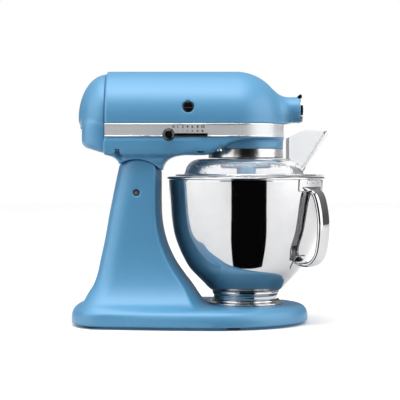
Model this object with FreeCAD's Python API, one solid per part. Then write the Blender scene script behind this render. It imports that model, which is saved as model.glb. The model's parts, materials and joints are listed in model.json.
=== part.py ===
import FreeCAD, Part
import math
import os

# Tilt-head stand mixer.  Millimetres, +Z up, +X towards the power hub,
# -Y is the side with the speed knob.  Z = 0 is the table.

V = FreeCAD.Vector
AXIS_X = V(1, 0, 0)
AXIS_Y = V(0, 1, 0)
AXIS_Z = V(0, 0, 1)

# ---------------------------------------------------------------- sizes
FOOT_H = 4.0
BASE_TOP = 27.0
BASE_REAR = -178.5
BASE_FRONT = 150.5
BASE_HALF = 110.5
BASE_MID_X = 20.0
WALL = 4.0

PIN_X = -86.8
PIN_Z = 182.5
PIN_R = 4.6
KNUCKLE_R = 45.0
NECK_R = 45.6
NECK_HALF = 52.0
TONGUE_HALF = 20.5
SLOT_HALF = 21.5

HEAD_R = 66.0
HEAD_Z = 284.5
HEAD_NOSE_X = 50.0
HEAD_REAR_X = -129.5
HEAD_WALL = 3.5
HEAD_SPLIT_Z = 268.0
BAND_LOW = 258.8
BAND_HIGH = 277.0
CASE_FLOOR = 236.0
COVER_REAR_X = -169.5

BOWL_X = 64.0
COLLAR_R = 52.0
COLLAR_LOW = 242.7
DRIP_LOW = 229.8
MOTOR_Z = 299.0
HUB_Z = 297.0
HUB_R = 18.0
HUB_FACE_X = 140.0
HUB_BORE_R = 14.5
BRUSH_X = -16.0

RIM_Z = 204.0
BOWL_WALL = 1.2
CLAMP_R = 53.0

RING_TEETH = 56
PLANET_TEETH = 16
PLANET_MODULE = 1.25
PLANET_OFFSET = 25.0
CENTRE_TEETH = 36
PINION_TEETH = 12
SPUR_MODULE = 1.25
WHEEL_TEETH = 28
WHEEL_R = 22.0
WORM_R = 6.0
WORM_STARTS = 2
BEVEL_CENTRE_TEETH = 24
BEVEL_HUB_TEETH = 12
BEVEL_CENTRE_R = 18.0
BEVEL_HUB_R = 9.0

LEVER_Z = 261.0
LEVER_X = -16.0
LEVER_REST = -18.0


# -------------------------------------------------------------- helpers
def box(x0, x1, y0, y1, z0, z1):
    return Part.makeBox(x1 - x0, y1 - y0, z1 - z0, V(x0, y0, z0))


def rod(r, x, y, z, length, axis=AXIS_Z):
    return Part.makeCylinder(r, length, V(x, y, z), axis)


def tube(r_out, r_in, x, y, z, length, axis=AXIS_Z):
    return rod(r_out, x, y, z, length, axis).cut(rod(r_in, x, y, z, length, axis))


def join(shapes):
    result = shapes[0].multiFuse(shapes[1:])
    return result.removeSplitter()


def turned(points, x, y):
    # closed profile of (radius, height) turned about a vertical axis
    wire = Part.makePolygon([V(x + r, y, z) for r, z in points + [points[0]]])
    return Part.Face(wire).revolve(V(x, y, 0), AXIS_Z, 360)


def plate_xz(points, y0, y1):
    # closed (x, z) outline given thickness along Y
    wire = Part.makePolygon([V(x, y0, z) for x, z in points + [points[0]]])
    return Part.Face(wire).extrude(V(0, y1 - y0, 0))


def spline(points):
    curve = Part.BSplineCurve()
    curve.interpolate(points)
    return curve.toShape()


def turn_about(shape, centre, axis, angle):
    copy = shape.copy()
    copy.rotate(centre, axis, angle)
    return copy


def star(teeth, r_root, r_tip, root_part, tip_part, phase, z):
    # toothed outline in the XY plane, tooth centres at phase + k * pitch
    pitch = 2 * math.pi / teeth
    points = []
    for k in range(teeth):
        mid = math.radians(phase) + k * pitch
        for r, part in ((r_root, -root_part), (r_tip, -tip_part),
                        (r_tip, tip_part), (r_root, root_part)):
            a = mid + 0.5 * part * pitch
            points.append(V(r * math.cos(a), r * math.sin(a), z))
    return Part.makePolygon(points + [points[0]])


def spur(teeth, module, phase, z0, z1, add=0.8, ded=1.25):
    r = teeth * module / 2
    wire = star(teeth, r - ded * module, r + add * module, 0.55, 0.24, phase, z0)
    return Part.Face(wire).extrude(V(0, 0, z1 - z0))


def head_form(r, x_rear, z_low):
    # bullet: half-round roof, round nose, upright sides
    roof = rod(r, x_rear, 0, HEAD_Z, HEAD_NOSE_X - x_rear, AXIS_X)
    nose = Part.makeSphere(r, V(HEAD_NOSE_X, 0, HEAD_Z))
    top = roof.fuse(nose).common(box(x_rear, 200, -100, 100, HEAD_Z, 400))
    return top.fuse(head_prism(r, x_rear, z_low, HEAD_Z)).removeSplitter()


def head_prism(r, x_rear, z0, z1):
    block = box(x_rear, HEAD_NOSE_X, -r, r, z0, z1)
    return block.fuse(rod(r, HEAD_NOSE_X, 0, z0, z1 - z0)).removeSplitter()


os.makedirs("parts", exist_ok=True)


def save(name, shape):
    if isinstance(shape, list):
        shape = Part.makeCompound(shape)
    if not shape.isValid():
        print("not valid:", name)
    shape.exportStep("parts/" + name + ".step")
    print(name, len(shape.Solids), round(shape.Volume))


# ----------------------------------------------------------------- base
def base_outline(inset, z):
    # elliptical front, gently narrowing sides, rounded rear corners
    half = []
    for k in range(7):
        t = math.radians(15 * k)
        half.append(((BASE_FRONT - BASE_MID_X) * math.cos(t) + BASE_MID_X,
                     BASE_HALF * math.sin(t)))
    half += [(-20, 109.2), (-60, 105.2), (-100, 99.2), (-135, 91.5), (-155, 82.5),
             (-168.5, 67.0), (-175.5, 45.0), (BASE_REAR + 0.4, 20.0)]
    ring = half + [(BASE_REAR, 0)] + [(x, -y) for x, y in half[:0:-1]]
    points = []
    for k, (x, y) in enumerate(ring):
        x0, y0 = ring[k - 1]
        x1, y1 = ring[(k + 1) % len(ring)]
        length = math.hypot(x1 - x0, y1 - y0)
        points.append(V(x - inset * (y1 - y0) / length, y + inset * (x1 - x0) / length, z))
    curve = Part.BSplineCurve()
    curve.interpolate(Points=points, PeriodicFlag=True)
    return Part.Wire([curve.toShape()])


def base_solid(inset, z0, z1, rounding):
    solid = Part.Face(base_outline(inset, z0)).extrude(V(0, 0, z1 - z0))
    top = [e for e in solid.Edges if e.BoundBox.ZMin > z1 - 0.01]
    return solid.makeFillet(rounding, top).Solids[0]


FOOT_SPOTS = [(-150, -58), (-150, 58), (45, -86), (45, 86), (132, 0)]
CLAMP_SCREWS = [(BOWL_X + 30 * math.cos(a), 30 * math.sin(a))
                for a in (math.radians(45 + 90 * k) for k in range(4))]
PEDESTAL_SCREWS = [(-142, -38), (-142, 38), (-40, -68), (-40, 68)]


def make_base():
    shell = base_solid(0, FOOT_H, BASE_TOP, 13)
    hollow = base_solid(WALL, FOOT_H - 1, BASE_TOP - WALL, 9)
    shell = shell.cut(hollow)
    bosses = []
    for x, y in FOOT_SPOTS:
        bosses.append(rod(10, x, y, FOOT_H + 2, 18))
    for x, y in CLAMP_SCREWS + PEDESTAL_SCREWS:
        bosses.append(rod(7, x, y, 15, 10))
    ribs = [box(-172, 144, -2, 2, 10, 23.5)]
    for x, half in ((-100, 93), (-30, 101), (45, 101), (100, 80)):
        ribs.append(box(x - 2, x + 2, -half, half, 10, 23.5))
    for piece in ribs + bosses:
        shell = shell.fuse(piece)
    for x, y in FOOT_SPOTS:
        shell = shell.cut(rod(4.0, x, y, 0, 14))
    for x, y in CLAMP_SCREWS:
        shell = shell.cut(rod(2.1, x, y, 8, 30))
    for x, y in PEDESTAL_SCREWS:
        shell = shell.cut(rod(3.1, x, y, 8, 30))
    return shell


def make_feet():
    feet = []
    for x, y in FOOT_SPOTS:
        pad = turned([(0, 0), (8.5, 0), (10, 1.5), (10, 6), (3.9, 6), (3.9, 13), (0, 13)], x, y)
        feet.append(pad)
    return feet


# ------------------------------------------------------------- pedestal
# height, rear, front, half width, rear corner, front bulge
COLUMN = [
    (27.0, -163.0, 8.0, 88.0, 30.0, 16.0),
    (34.0, -160.5, 3.5, 81.0, 30.0, 15.0),
    (43.0, -155.5, -2.5, 74.0, 29.0, 13.5),
    (55.0, -148.0, -10.5, 67.5, 28.0, 12.0),
    (70.0, -142.5, -22.0, 62.0, 27.0, 11.0),
    (88.0, -138.5, -34.0, 57.5, 26.0, 10.0),
    (108.0, -134.0, -43.5, 54.6, 24.5, 9.5),
    (128.0, -130.0, -49.5, 53.2, 23.5, 9.0),
    (148.0, -126.5, -52.6, 52.5, 23.0, 8.6),
    (168.0, -122.6, -53.4, 52.2, 22.5, 8.4),
    (188.0, -118.6, -53.5, 52.0, 22.0, 8.3),
    (208.0, -114.4, -53.5, 52.0, 21.5, 8.2),
    (230.0, -109.4, -53.5, 52.0, 21.0, 8.0),
]


def column_wire(z, rear, front, half, corner, bulge, inset):
    rear = rear + inset
    front = front - inset
    half = half - inset
    crease = front - bulge
    small = 5.0
    s = 1 - math.sqrt(0.5)
    p = [V(rear + corner, half, z), V(crease - small, half, z),
         V(crease, half - small, z), V(crease, small - half, z),
         V(crease - small, -half, z), V(rear + corner, -half, z),
         V(rear + 1.5, corner - half, z), V(rear + 1.5, half - corner, z)]
    edges = [Part.makeLine(p[0], p[1])]
    edges.append(Part.Arc(p[1], V(crease - s * small, half - s * small, z), p[2]).toShape())
    edges.append(Part.Arc(p[2], V(front, 0, z), p[3]).toShape())
    edges.append(Part.Arc(p[3], V(crease - s * small, s * small - half, z), p[4]).toShape())
    edges.append(Part.makeLine(p[4], p[5]))
    edges.append(Part.Arc(p[5], V(rear + s * corner, s * corner - half, z), p[6]).toShape())
    edges.append(Part.Arc(p[6], V(rear, 0, z), p[7]).toShape())
    edges.append(Part.Arc(p[7], V(rear + s * corner, half - s * corner, z), p[0]).toShape())
    return Part.Wire(edges)


def wedge_about_pin(angles, r, half):
    # fan of directions measured from straight up, positive to the front
    points = [(PIN_X, PIN_Z)]
    for a in angles:
        t = math.radians(a)
        points.append((PIN_X + r * math.sin(t), PIN_Z + r * math.cos(t)))
    return plate_xz(points, -half, half)


def make_pedestal():
    outer = Part.makeLoft([column_wire(*row, 0) for row in COLUMN], True, False)
    inner = Part.makeLoft([column_wire(*row, WALL + 1) for row in COLUMN[:9]], True, False)
    knuckle = rod(KNUCKLE_R, PIN_X, -120, PIN_Z, 240, AXIS_Y)
    keep = box(-220, 60, -120, 120, 20, PIN_Z).fuse(knuckle)
    body = outer.common(keep)
    hollow = inner.common(box(-220, 60, -120, 120, 20, 128))
    body = body.cut(hollow)
    slot = rod(24.5, PIN_X, -SLOT_HALF, PIN_Z, 2 * SLOT_HALF, AXIS_Y)
    slot = slot.fuse(wedge_about_pin([30, 10, -20, -50, -80], 62, SLOT_HALF))
    body = body.cut(slot)
    body = body.cut(rod(PIN_R, PIN_X, -60, PIN_Z, 120, AXIS_Y))
    body = body.cut(rod(2.6, PIN_X, 36, PIN_Z, 40, V(0, 0, -1)))
    # cross hole for the head lock
    body = body.cut(rod(4.05, LOCK_X, 20, LOCK_Z, 40, AXIS_Y))
    for x, y in PEDESTAL_SCREWS:
        body = body.fuse(rod(7.5, x, y, BASE_TOP, 20).common(outer))
    for x, y in PEDESTAL_SCREWS:
        body = body.cut(rod(2.6, x, y, BASE_TOP - 1, 17))
    return body


LOCK_X = PIN_X + 16.0
LOCK_Z = PIN_Z + 5.0


def make_housing_screws():
    return make_screws(HOUSING_SCREWS, 277.0, 241.8, 2.05, 4.2, 2.6, False)


def make_screws(spots, z0, z_head, r, r_head, head_h, head_up):
    # pan head screws standing upright, head above or below the shank
    screws = []
    for x, y in spots:
        shank = rod(r, x, y, z0, z_head - z0) if head_up else rod(r, x, y, z_head, z0 - z_head)
        base = z_head if head_up else z_head - head_h
        head = rod(r_head, x, y, base, head_h)
        slot_z = base + head_h - 1.2 if head_up else base
        slot = box(x - r_head, x + r_head, y - 0.6, y + 0.6, slot_z, slot_z + 1.2)
        screws.append(shank.fuse(head).cut(slot).removeSplitter())
    return screws


def make_pedestal_screws():
    return make_screws(PEDESTAL_SCREWS, 42.0, 15.0, 2.55, 5.5, 3.0, False)


def make_clamp_screws():
    return make_screws(CLAMP_SCREWS, 17.0, BASE_TOP + 2.5, 2.05, 3.8, 1.8, True)


def make_hinge_pin():
    pin = rod(PIN_R, PIN_X, -50.5, PIN_Z, 101, AXIS_Y)
    ends = [e for e in pin.Edges if e.BoundBox.YLength < 0.01]
    return pin.makeChamfer(0.8, ends)


def make_set_screw():
    screw = rod(2.55, PIN_X, 36, PIN_Z - PIN_R, 12, V(0, 0, -1))
    return screw.cut(box(PIN_X - 3, PIN_X + 3, 35.5, 36.5, PIN_Z - 18, PIN_Z - PIN_R - 11))


# ------------------------------------------------------------ bowl side
def make_clamp_plate():
    # plate with a raised ring; four bayonet lips hold the bowl foot
    plate = turned([(12, BASE_TOP), (CLAMP_R, BASE_TOP), (CLAMP_R, BASE_TOP + 2.2),
                    (CLAMP_R - 1.6, BASE_TOP + 4.2), (CLAMP_R - 2.2, BASE_TOP + 7.5),
                    (46.0, BASE_TOP + 7.5), (46.0, BASE_TOP + 2.5),
                    (12, BASE_TOP + 2.5)], BOWL_X, 0)
    lip = turned([(44.0, BASE_TOP + 6.0), (46.5, BASE_TOP + 6.0),
                  (46.5, BASE_TOP + 7.5), (44.0, BASE_TOP + 7.5)], BOWL_X, 0)
    for k in range(4):
        gap = box(BOWL_X + 30, BOWL_X + 60, -10, 10, BASE_TOP + 5, BASE_TOP + 9)
        lip = lip.cut(turn_about(gap, V(BOWL_X, 0, 0), AXIS_Z, 70 + 90 * k))
    plate = join([plate, lip])
    for x, y in CLAMP_SCREWS:
        plate = plate.cut(rod(2.15, x, y, BASE_TOP - 1, 5))
    return plate


def bowl_profile(inset):
    # outside of the bowl from the base of the wall to just below the rim
    outside = [(44.2, 44.0), (52.0, 48.6), (60.0, 56.6), (69.5, 66.2), (79.5, 77.5),
               (88.2, 92.5), (95.0, 107.5), (100.6, 124.5), (104.0, 146.0),
               (105.6, 168.5), (106.8, 190.0), (107.4, 200.6)]
    points = []
    for k, (r, z) in enumerate(outside):
        r0, z0 = outside[max(k - 1, 0)]
        r1, z1 = outside[min(k + 1, len(outside) - 1)]
        length = math.hypot(r1 - r0, z1 - z0)
        nr, nz = (z1 - z0) / length, -(r1 - r0) / length
        points.append(V(BOWL_X + r - inset * nr, 0, z - inset * nz))
    return points


def make_bowl_shell():
    out = bowl_profile(0)
    inn = bowl_profile(BOWL_WALL)
    floor_top = inn[0].z
    edges = [spline(out), Part.makeLine(out[-1], inn[-1]), spline(inn[::-1])]
    edges.append(Part.makeLine(inn[0], V(BOWL_X, 0, floor_top)))
    edges.append(Part.makeLine(V(BOWL_X, 0, floor_top), V(BOWL_X, 0, out[0].z)))
    edges.append(Part.makeLine(V(BOWL_X, 0, out[0].z), out[0]))
    wall = Part.Face(Part.Wire(edges)).revolve(V(BOWL_X, 0, 0), AXIS_Z, 360)
    rim = Part.makeTorus(107.9, 1.9, V(BOWL_X, 0, RIM_Z - 1.9), AXIS_Z)
    return join([wall, rim])


def make_bowl_foot():
    # pressed ring under the bowl with four bayonet bumps
    low = BASE_TOP + 2.9
    ring = turned([(42.0, low), (43.4, low), (43.4, 42.0), (45.4, 43.6), (45.4, 45.2),
                   (42.0, 45.2)], BOWL_X, 0)
    bumps = []
    for k in range(4):
        bump = tube(45.2, 43.0, BOWL_X, 0, low + 0.2, 2.4)
        part = box(BOWL_X + 35, BOWL_X + 60, -7, 7, 20, 60)
        part = turn_about(part, V(BOWL_X, 0, 0), AXIS_Z, 45 + 90 * k)
        bumps.append(bump.common(part))
    bowl = Part.Face(Part.Wire(bowl_cut_edges())).revolve(V(BOWL_X, 0, 0), AXIS_Z, 360)
    return join([ring] + bumps).cut(bowl)


HANDLE_ANGLE = -35.0


def strap(points, thick, half):
    # ribbon following points given as (distance from bowl axis, height)
    left, right = [], []
    for k, (r, z) in enumerate(points):
        r0, z0 = points[max(k - 1, 0)]
        r1, z1 = points[min(k + 1, len(points) - 1)]
        length = math.hypot(r1 - r0, z1 - z0)
        nr, nz = (z1 - z0) / length, -(r1 - r0) / length
        left.append(V(BOWL_X + r + nr * thick / 2, -half, z + nz * thick / 2))
        right.append(V(BOWL_X + r - nr * thick / 2, -half, z - nz * thick / 2))
    edges = [spline(left), Part.makeLine(left[-1], right[-1]), spline(right[::-1])]
    edges.append(Part.makeLine(right[0], left[0]))
    return Part.Face(Part.Wire(edges)).extrude(V(0, 2 * half, 0))


HANDLE_LINE = [(107.9, 190.5), (111.5, 187.5), (117.5, 183.0), (121.5, 175.5), (124.6, 164.0),
               (126.6, 152.0), (127.6, 138.0), (126.6, 120.0), (124.2, 104.0),
               (120.0, 93.5), (113.0, 86.0), (104.0, 83.0), (95.5, 83.8), (88.4, 86.8)]


def make_handle():
    band = strap(HANDLE_LINE, 3.0, 10.5)
    grip = []
    for side in (-10.5, 7.5):
        edge = strap(HANDLE_LINE[3:11], 7.0, 1.5)
        grip.append(edge.translated(V(0, side + 1.5, 0)))
    upper = tube(109.3, 106.9, BOWL_X, 0, 184.0, 14.0)
    upper = upper.common(box(BOWL_X + 60, BOWL_X + 130, -29, 29, 180, 200))
    upper = upper.cut(rod(107.2, BOWL_X, 0, 170, 60))
    hug = turned([(86.4 + 0.2, 88.5), (96.4, 108.0), (98.8, 106.8), (88.8, 87.3),
                  (83.0, 78.5), (81.0, 80.2)], BOWL_X, 0)
    lower = hug.common(box(BOWL_X + 70, BOWL_X + 110, -13, 13, 79, 96))
    shape = join([band, upper, lower] + grip)
    inside = Part.Face(Part.Wire(bowl_cut_edges())).revolve(V(BOWL_X, 0, 0), AXIS_Z, 360)
    shape = shape.cut(inside)
    keep = max(shape.Solids, key=lambda s: s.Volume)
    return turn_about(keep, V(BOWL_X, 0, 0), AXIS_Z, HANDLE_ANGLE)


def bowl_cut_edges():
    out = bowl_profile(0)
    top = V(BOWL_X, 0, out[-1].z)
    low = V(BOWL_X, 0, out[0].z)
    return [spline(out), Part.makeLine(out[-1], top), Part.makeLine(top, low),
            Part.makeLine(low, out[0])]


# ---------------------------------------------------------- head castings
def brush_bores():
    return rod(7.6, BRUSH_X, -80, MOTOR_Z, 160, AXIS_Y)


def make_motor_housing():
    shell = head_form(HEAD_R, HEAD_REAR_X, HEAD_SPLIT_Z)
    cavity = head_form(HEAD_R - HEAD_WALL, HEAD_REAR_X - 1, HEAD_SPLIT_Z - 1)
    shell = shell.cut(cavity)
    groove = head_prism(HEAD_R + 2, HEAD_REAR_X - 1, HEAD_SPLIT_Z - 1, BAND_HIGH)
    groove = groove.cut(head_prism(HEAD_R - 1.2, HEAD_REAR_X - 2, HEAD_SPLIT_Z - 2, BAND_HIGH + 1))
    shell = shell.cut(groove)
    webs = []
    for x in (-84.0, -50.0):
        web = head_form(HEAD_R - 1.5, x, HEAD_SPLIT_Z).common(
            box(x, x + 5, -100, 100, HEAD_SPLIT_Z, 400))
        webs.append(web.cut(rod(42.0, x - 1, 0, MOTOR_Z, 8, AXIS_X)))
    hub = rod(HUB_R, 92, 0, HUB_Z, HUB_FACE_X - 92, AXIS_X)
    fillet = Part.makeCone(30, HUB_R, 24, V(100, 0, HUB_Z), AXIS_X)
    fillet = fillet.common(box(90, 200, -60, 60, HEAD_SPLIT_Z + 10, 400))
    shell = join([shell] + webs + [hub.cut(cavity), fillet.cut(cavity)])
    shell = shell.cut(rod(HUB_BORE_R + 1.5, 90, 0, HUB_Z, 60, AXIS_X))
    shell = shell.cut(brush_bores())
    shell = shell.cut(rod(2.6, 130, 10, HUB_Z, 20, AXIS_Y))
    for x, y in HOUSING_SCREWS:
        boss = rod(5.5, x, y, HEAD_SPLIT_Z, 14).common(head_form(HEAD_R - 1, HEAD_REAR_X, 250))
        shell = shell.fuse(boss)
        shell = shell.cut(rod(2.1, x, y, HEAD_SPLIT_Z - 1, 11))
    # notch for the hub cover hinge
    shell = shell.cut(box(137.0, 141, -6.5, 6.5, HUB_Z + 16.2, HUB_Z + 19))
    return shell.removeSplitter()


HOUSING_SCREWS = [(-108, -57.5), (-108, 57.5), (26, -57.5), (26, 57.5)]


def side_sweep():
    # region under the rising front edge of the lower case
    curve = spline([V(8, -90, 235.0), V(20, -90, 238.6), V(30, -90, 243.8),
                    V(41, -90, 250.0), V(58, -90, 254.6), V(84, -90, 256.0)])
    edges = [curve, Part.makeLine(V(84, -90, 256), V(140, -90, 256)),
             Part.makeLine(V(140, -90, 256), V(140, -90, 220)),
             Part.makeLine(V(140, -90, 220), V(8, -90, 220)),
             Part.makeLine(V(8, -90, 220), V(8, -90, 235))]
    return Part.Face(Part.Wire(edges)).extrude(V(0, 180, 0))


def neck_block():
    front = [V(-20, 0, 237.5), V(-34, 0, 234.6), V(-43.5, 0, 229.5), V(-50.0, 0, 221.0),
             V(-53.0, 0, 208.0)]
    rear = [V(-109.5, 0, 208.0), V(-110.5, 0, 221.0), V(-114.5, 0, 229.5), V(-122.0, 0, 235.5)]
    edges = [spline(front), Part.makeLine(front[-1], rear[0]), spline(rear)]
    top_rear = V(-122, 0, 246)
    top_front = V(-20, 0, 246)
    edges += [Part.makeLine(rear[-1], top_rear), Part.makeLine(top_rear, top_front),
              Part.makeLine(top_front, front[0])]
    face = Part.Face(Part.Wire(edges))
    face.translate(V(0, -NECK_HALF, 0))
    return face.extrude(V(0, 2 * NECK_HALF, 0))


def make_gearcase():
    body = head_prism(HEAD_R, HEAD_REAR_X + 0.2, CASE_FLOOR, HEAD_SPLIT_Z)
    low_edges = [e for e in body.Edges if e.BoundBox.ZMax < CASE_FLOOR + 0.01]
    body = body.makeFillet(5.5, low_edges)
    collar = rod(COLLAR_R, BOWL_X, 0, COLLAR_LOW, HEAD_SPLIT_Z - COLLAR_LOW - 4)
    body = body.cut(side_sweep().cut(collar))
    body = body.cut(box(BOWL_X - 60, BOWL_X + 60, -80, 80, 220, COLLAR_LOW).common(
        rod(60, BOWL_X, 0, 220, 60)))
    body = body.fuse(collar)
    body = body.fuse(neck_block())
    cavity = head_prism(HEAD_R - HEAD_WALL, HEAD_REAR_X + 4, CASE_FLOOR + 9, HEAD_SPLIT_Z + 1)
    cavity = cavity.cut(box(4, 130, -80, 80, 230, 259.5))
    pocket = rod(COLLAR_R - 4, BOWL_X, 0, 247.5, 13)
    pocket = pocket.fuse(box(2, BOWL_X, -34, 34, 247.5, 260.5))
    body = body.cut(cavity).cut(pocket)
    # ring gear seat and shaft bore under the floor
    body = body.cut(rod(42.0, BOWL_X, 0, 230, 13.0))
    body = body.cut(rod(9.0, BOWL_X, 0, 230, 30))
    # pedestal knuckle clearance, central tongue to the hinge pin
    body = body.cut(rod(NECK_R, PIN_X, -120, PIN_Z, 240, AXIS_Y))
    tongue = rod(22.0, PIN_X, -TONGUE_HALF, PIN_Z, 2 * TONGUE_HALF, AXIS_Y)
    tongue = tongue.fuse(wedge_about_pin([22, 0, -22], 52, TONGUE_HALF))
    body = join([body, tongue])
    body = body.cut(rod(PIN_R + 0.05, PIN_X, -60, PIN_Z, 120, AXIS_Y))
    # band groove
    groove = head_prism(HEAD_R + 2, -140, BAND_LOW, HEAD_SPLIT_Z + 1)
    groove = groove.cut(head_prism(HEAD_R - 1.2, -141, BAND_LOW - 1, HEAD_SPLIT_Z + 2))
    body = body.cut(groove)
    body = body.cut(box(-41, 10, -72, -58, LEVER_Z - 1.7, LEVER_Z + 1.7))
    bosses = []
    for x, y in HOUSING_SCREWS:
        bosses.append(rod(5.5, x, y, 240, HEAD_SPLIT_Z - 240).common(
            head_prism(HEAD_R - 1.5, -124, 240, HEAD_SPLIT_Z)))
    body = join([body] + bosses)
    for x, y in HOUSING_SCREWS:
        body = body.cut(rod(2.15, x, y, 230, 60))
        body = body.cut(rod(4.6, x, y, 220, 22))
    body = body.cut(rod(4.1, *WHEEL_SPOT, 240, 12))
    body = body.cut(rod(3.05, LEVER_X, 0, 243.0, 3))
    return body


# ------------------------------------------------------------- gear train
WHEEL_SPOT = (BOWL_X - math.sqrt(900.0 - 784.0), 28.0)
CENTRE_TO_WHEEL = math.degrees(math.atan2(WHEEL_SPOT[1], WHEEL_SPOT[0] - BOWL_X))
AXIAL_PITCH = 2 * math.pi * WHEEL_R / WHEEL_TEETH
WORM_LEAD = WORM_STARTS * AXIAL_PITCH


def make_worm_thread(x0, x1):
    root = WORM_R - 1.75
    tip = WORM_R + 1.15
    threads = []
    for start in range(WORM_STARTS):
        helix = Part.makeHelix(WORM_LEAD, x1 - x0, root)
        half_root = 0.26 * AXIAL_PITCH
        half_tip = 0.13 * AXIAL_PITCH
        profile = Part.makePolygon([V(root - 0.5, 0, -half_root), V(tip, 0, -half_tip),
                                    V(tip, 0, half_tip), V(root - 0.5, 0, half_root),
                                    V(root - 0.5, 0, -half_root)])
        thread = Part.Wire(helix).makePipeShell([profile], True, True)
        thread.rotate(V(0, 0, 0), AXIS_Z, start * 360.0 / WORM_STARTS)
        threads.append(thread)
    ends = rod(tip + 1, 0, 0, 0, x1 - x0)
    worm = rod(root, 0, 0, 0, x1 - x0)
    for thread in threads:
        worm = worm.fuse(thread.common(ends))
    return worm.Solids[0]


def make_armature():
    # worm thread is cut so that a gap faces the wheel at rest
    x0, x1 = 40.0, 63.0
    worm = make_worm_thread(x0, x1)
    # helix starts at local +X; local Z becomes world X, local X becomes world Y
    worm.rotate(V(0, 0, 0), V(1, 1, 1), 120)
    worm.translate(V(x0, 0, MOTOR_Z))
    # thread centre crosses the +Y side at x0 + k * pitch at zero phase
    gap = WHEEL_SPOT[0] - x0 - 0.5 * AXIAL_PITCH
    turn = -360.0 * (gap % AXIAL_PITCH) / WORM_LEAD
    worm.rotate(V(0, 0, MOTOR_Z), AXIS_X, turn)
    shaft = rod(4.0, -120, 0, MOTOR_Z, 160.5, AXIS_X)
    shaft = shaft.fuse(rod(5.0, -44, 0, MOTOR_Z, 46, AXIS_X))
    stack = rod(24.0, -86, 0, MOTOR_Z, 44, AXIS_X)
    slots = []
    for k in range(12):
        slot = box(-90, -38, -1.2, 1.2, MOTOR_Z + 16, MOTOR_Z + 26)
        slots.append(turn_about(slot, V(0, 0, MOTOR_Z), AXIS_X, 30 * k))
    stack = stack.cut(Part.makeCompound(slots))
    commutator = rod(11.0, -24, 0, MOTOR_Z, 15, AXIS_X)
    grooves = []
    for k in range(24):
        groove = box(-24.5, -11, -0.35, 0.35, MOTOR_Z + 10, MOTOR_Z + 12)
        grooves.append(turn_about(groove, V(0, 0, MOTOR_Z), AXIS_X, 15 * k))
    commutator = commutator.cut(Part.makeCompound(grooves))
    fan = rod(9, -108, 0, MOTOR_Z, 14, AXIS_X).fuse(rod(36, -98, 0, MOTOR_Z, 2, AXIS_X))
    blades = []
    for k in range(10):
        blade = box(-108, -97, -0.9, 0.9, MOTOR_Z + 7, MOTOR_Z + 35)
        blades.append(turn_about(blade, V(0, 0, MOTOR_Z), AXIS_X, 36 * k))
    return join([shaft, worm, stack, commutator, fan] + blades)


def make_worm_wheel():
    # helical teeth, a tooth faces the worm at rest
    x, y = WHEEL_SPOT
    r = WHEEL_R
    half = 4.0
    lean = math.degrees(half * WORM_LEAD / (2 * math.pi * WORM_R) / r)
    low = star(WHEEL_TEETH, r - 1.9, r + 1.1, 0.5, 0.22, -90 - lean, MOTOR_Z - half)
    high = star(WHEEL_TEETH, r - 1.9, r + 1.1, 0.5, 0.22, -90 + lean, MOTOR_Z + half)
    wheel = Part.makeLoft([low, high], True, True)
    wheel = wheel.fuse(rod(9, 0, 0, MOTOR_Z - 8, 16))
    phase = CENTRE_TO_WHEEL + 180 + 180.0 / PINION_TEETH
    pinion = spur(PINION_TEETH, SPUR_MODULE, phase, 249.5, 262)
    shaft = rod(4.0, 0, 0, 243.5, 71.5)
    whole = join([wheel, pinion, shaft])
    whole.translate(V(x, y, 0))
    return whole


def bevel(teeth, r, height, add, ded, phase, inner):
    # teeth converge on the origin; the large end is at height
    large = star(teeth, r - ded, r + add, 0.56, 0.26, phase, height)
    small = large.copy()
    small.scale(inner, V(0, 0, 0))
    return Part.makeLoft([large, small], True, True)


def make_planetary():
    # centre shaft with spur and bevel gears, and the carrier below
    spur_gear = spur(CENTRE_TEETH, SPUR_MODULE, CENTRE_TO_WHEEL, 250.5, 260)
    crown = bevel(BEVEL_CENTRE_TEETH, BEVEL_CENTRE_R, -BEVEL_HUB_R, 2.0, 3.2, 0, 0.8)
    crown = crown.fuse(rod(14.6, 0, 0, -BEVEL_HUB_R - 5, 5.0))
    crown.translate(V(0, 0, HUB_Z))
    shaft = rod(7.0, 0, 0, 222, 65)
    rim = [(0, 215.2), (32.5, 215.2), (36.5, 217.0), (38.0, 220.5), (38.0, 229.3), (0, 229.3)]
    carrier = turned(rim, 0, 0)
    boss = rod(13.3, 0, -PLANET_OFFSET, 205.5, 16)
    hub = rod(12, 0, 0, 229, 2.5)
    whole = join([spur_gear, crown, shaft, carrier, boss, hub])
    whole = whole.cut(rod(5.05, 0, -PLANET_OFFSET, 200, 40))
    whole.translate(V(BOWL_X, 0, 0))
    return whole


def make_ring_gear():
    r = RING_TEETH * PLANET_MODULE / 2
    m = PLANET_MODULE
    # inner outline: spaces centred on -90 degrees
    wire = star(RING_TEETH, r - 0.75 * m, r + 1.3 * m, 0.78, 0.42, -90, 232.0)
    hollow = Part.Face(wire).extrude(V(0, 0, 11))
    ring = rod(41.8, 0, 0, 232, 10.7).cut(hollow)
    ring.translate(V(BOWL_X, 0, 0))
    return ring


def make_drip_ring():
    # rolled steel ring around the planetary, hung from the gearcase collar
    return turned([(COLLAR_R, 242.7), (COLLAR_R, 231.0), (COLLAR_R - 1.2, DRIP_LOW),
                   (42.5, DRIP_LOW), (39.2, 231.2), (39.2, 231.9), (42.2, 231.9),
                   (43.0, 231.5), (COLLAR_R - 2.0, 231.5), (COLLAR_R - 1.2, 232.0),
                   (COLLAR_R - 1.2, 242.7)], BOWL_X, 0)


def make_agitator():
    pinion = spur(PLANET_TEETH, PLANET_MODULE, -90, 232.4, 241.5, 0.75, 1.25)
    shaft = rod(5.0, 0, 0, 182, 57)
    pin = rod(1.6, -9.5, 0, 190, 19, AXIS_X)
    whole = join([pinion, shaft, pin])
    whole.translate(V(BOWL_X, -PLANET_OFFSET, 0))
    return whole


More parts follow.
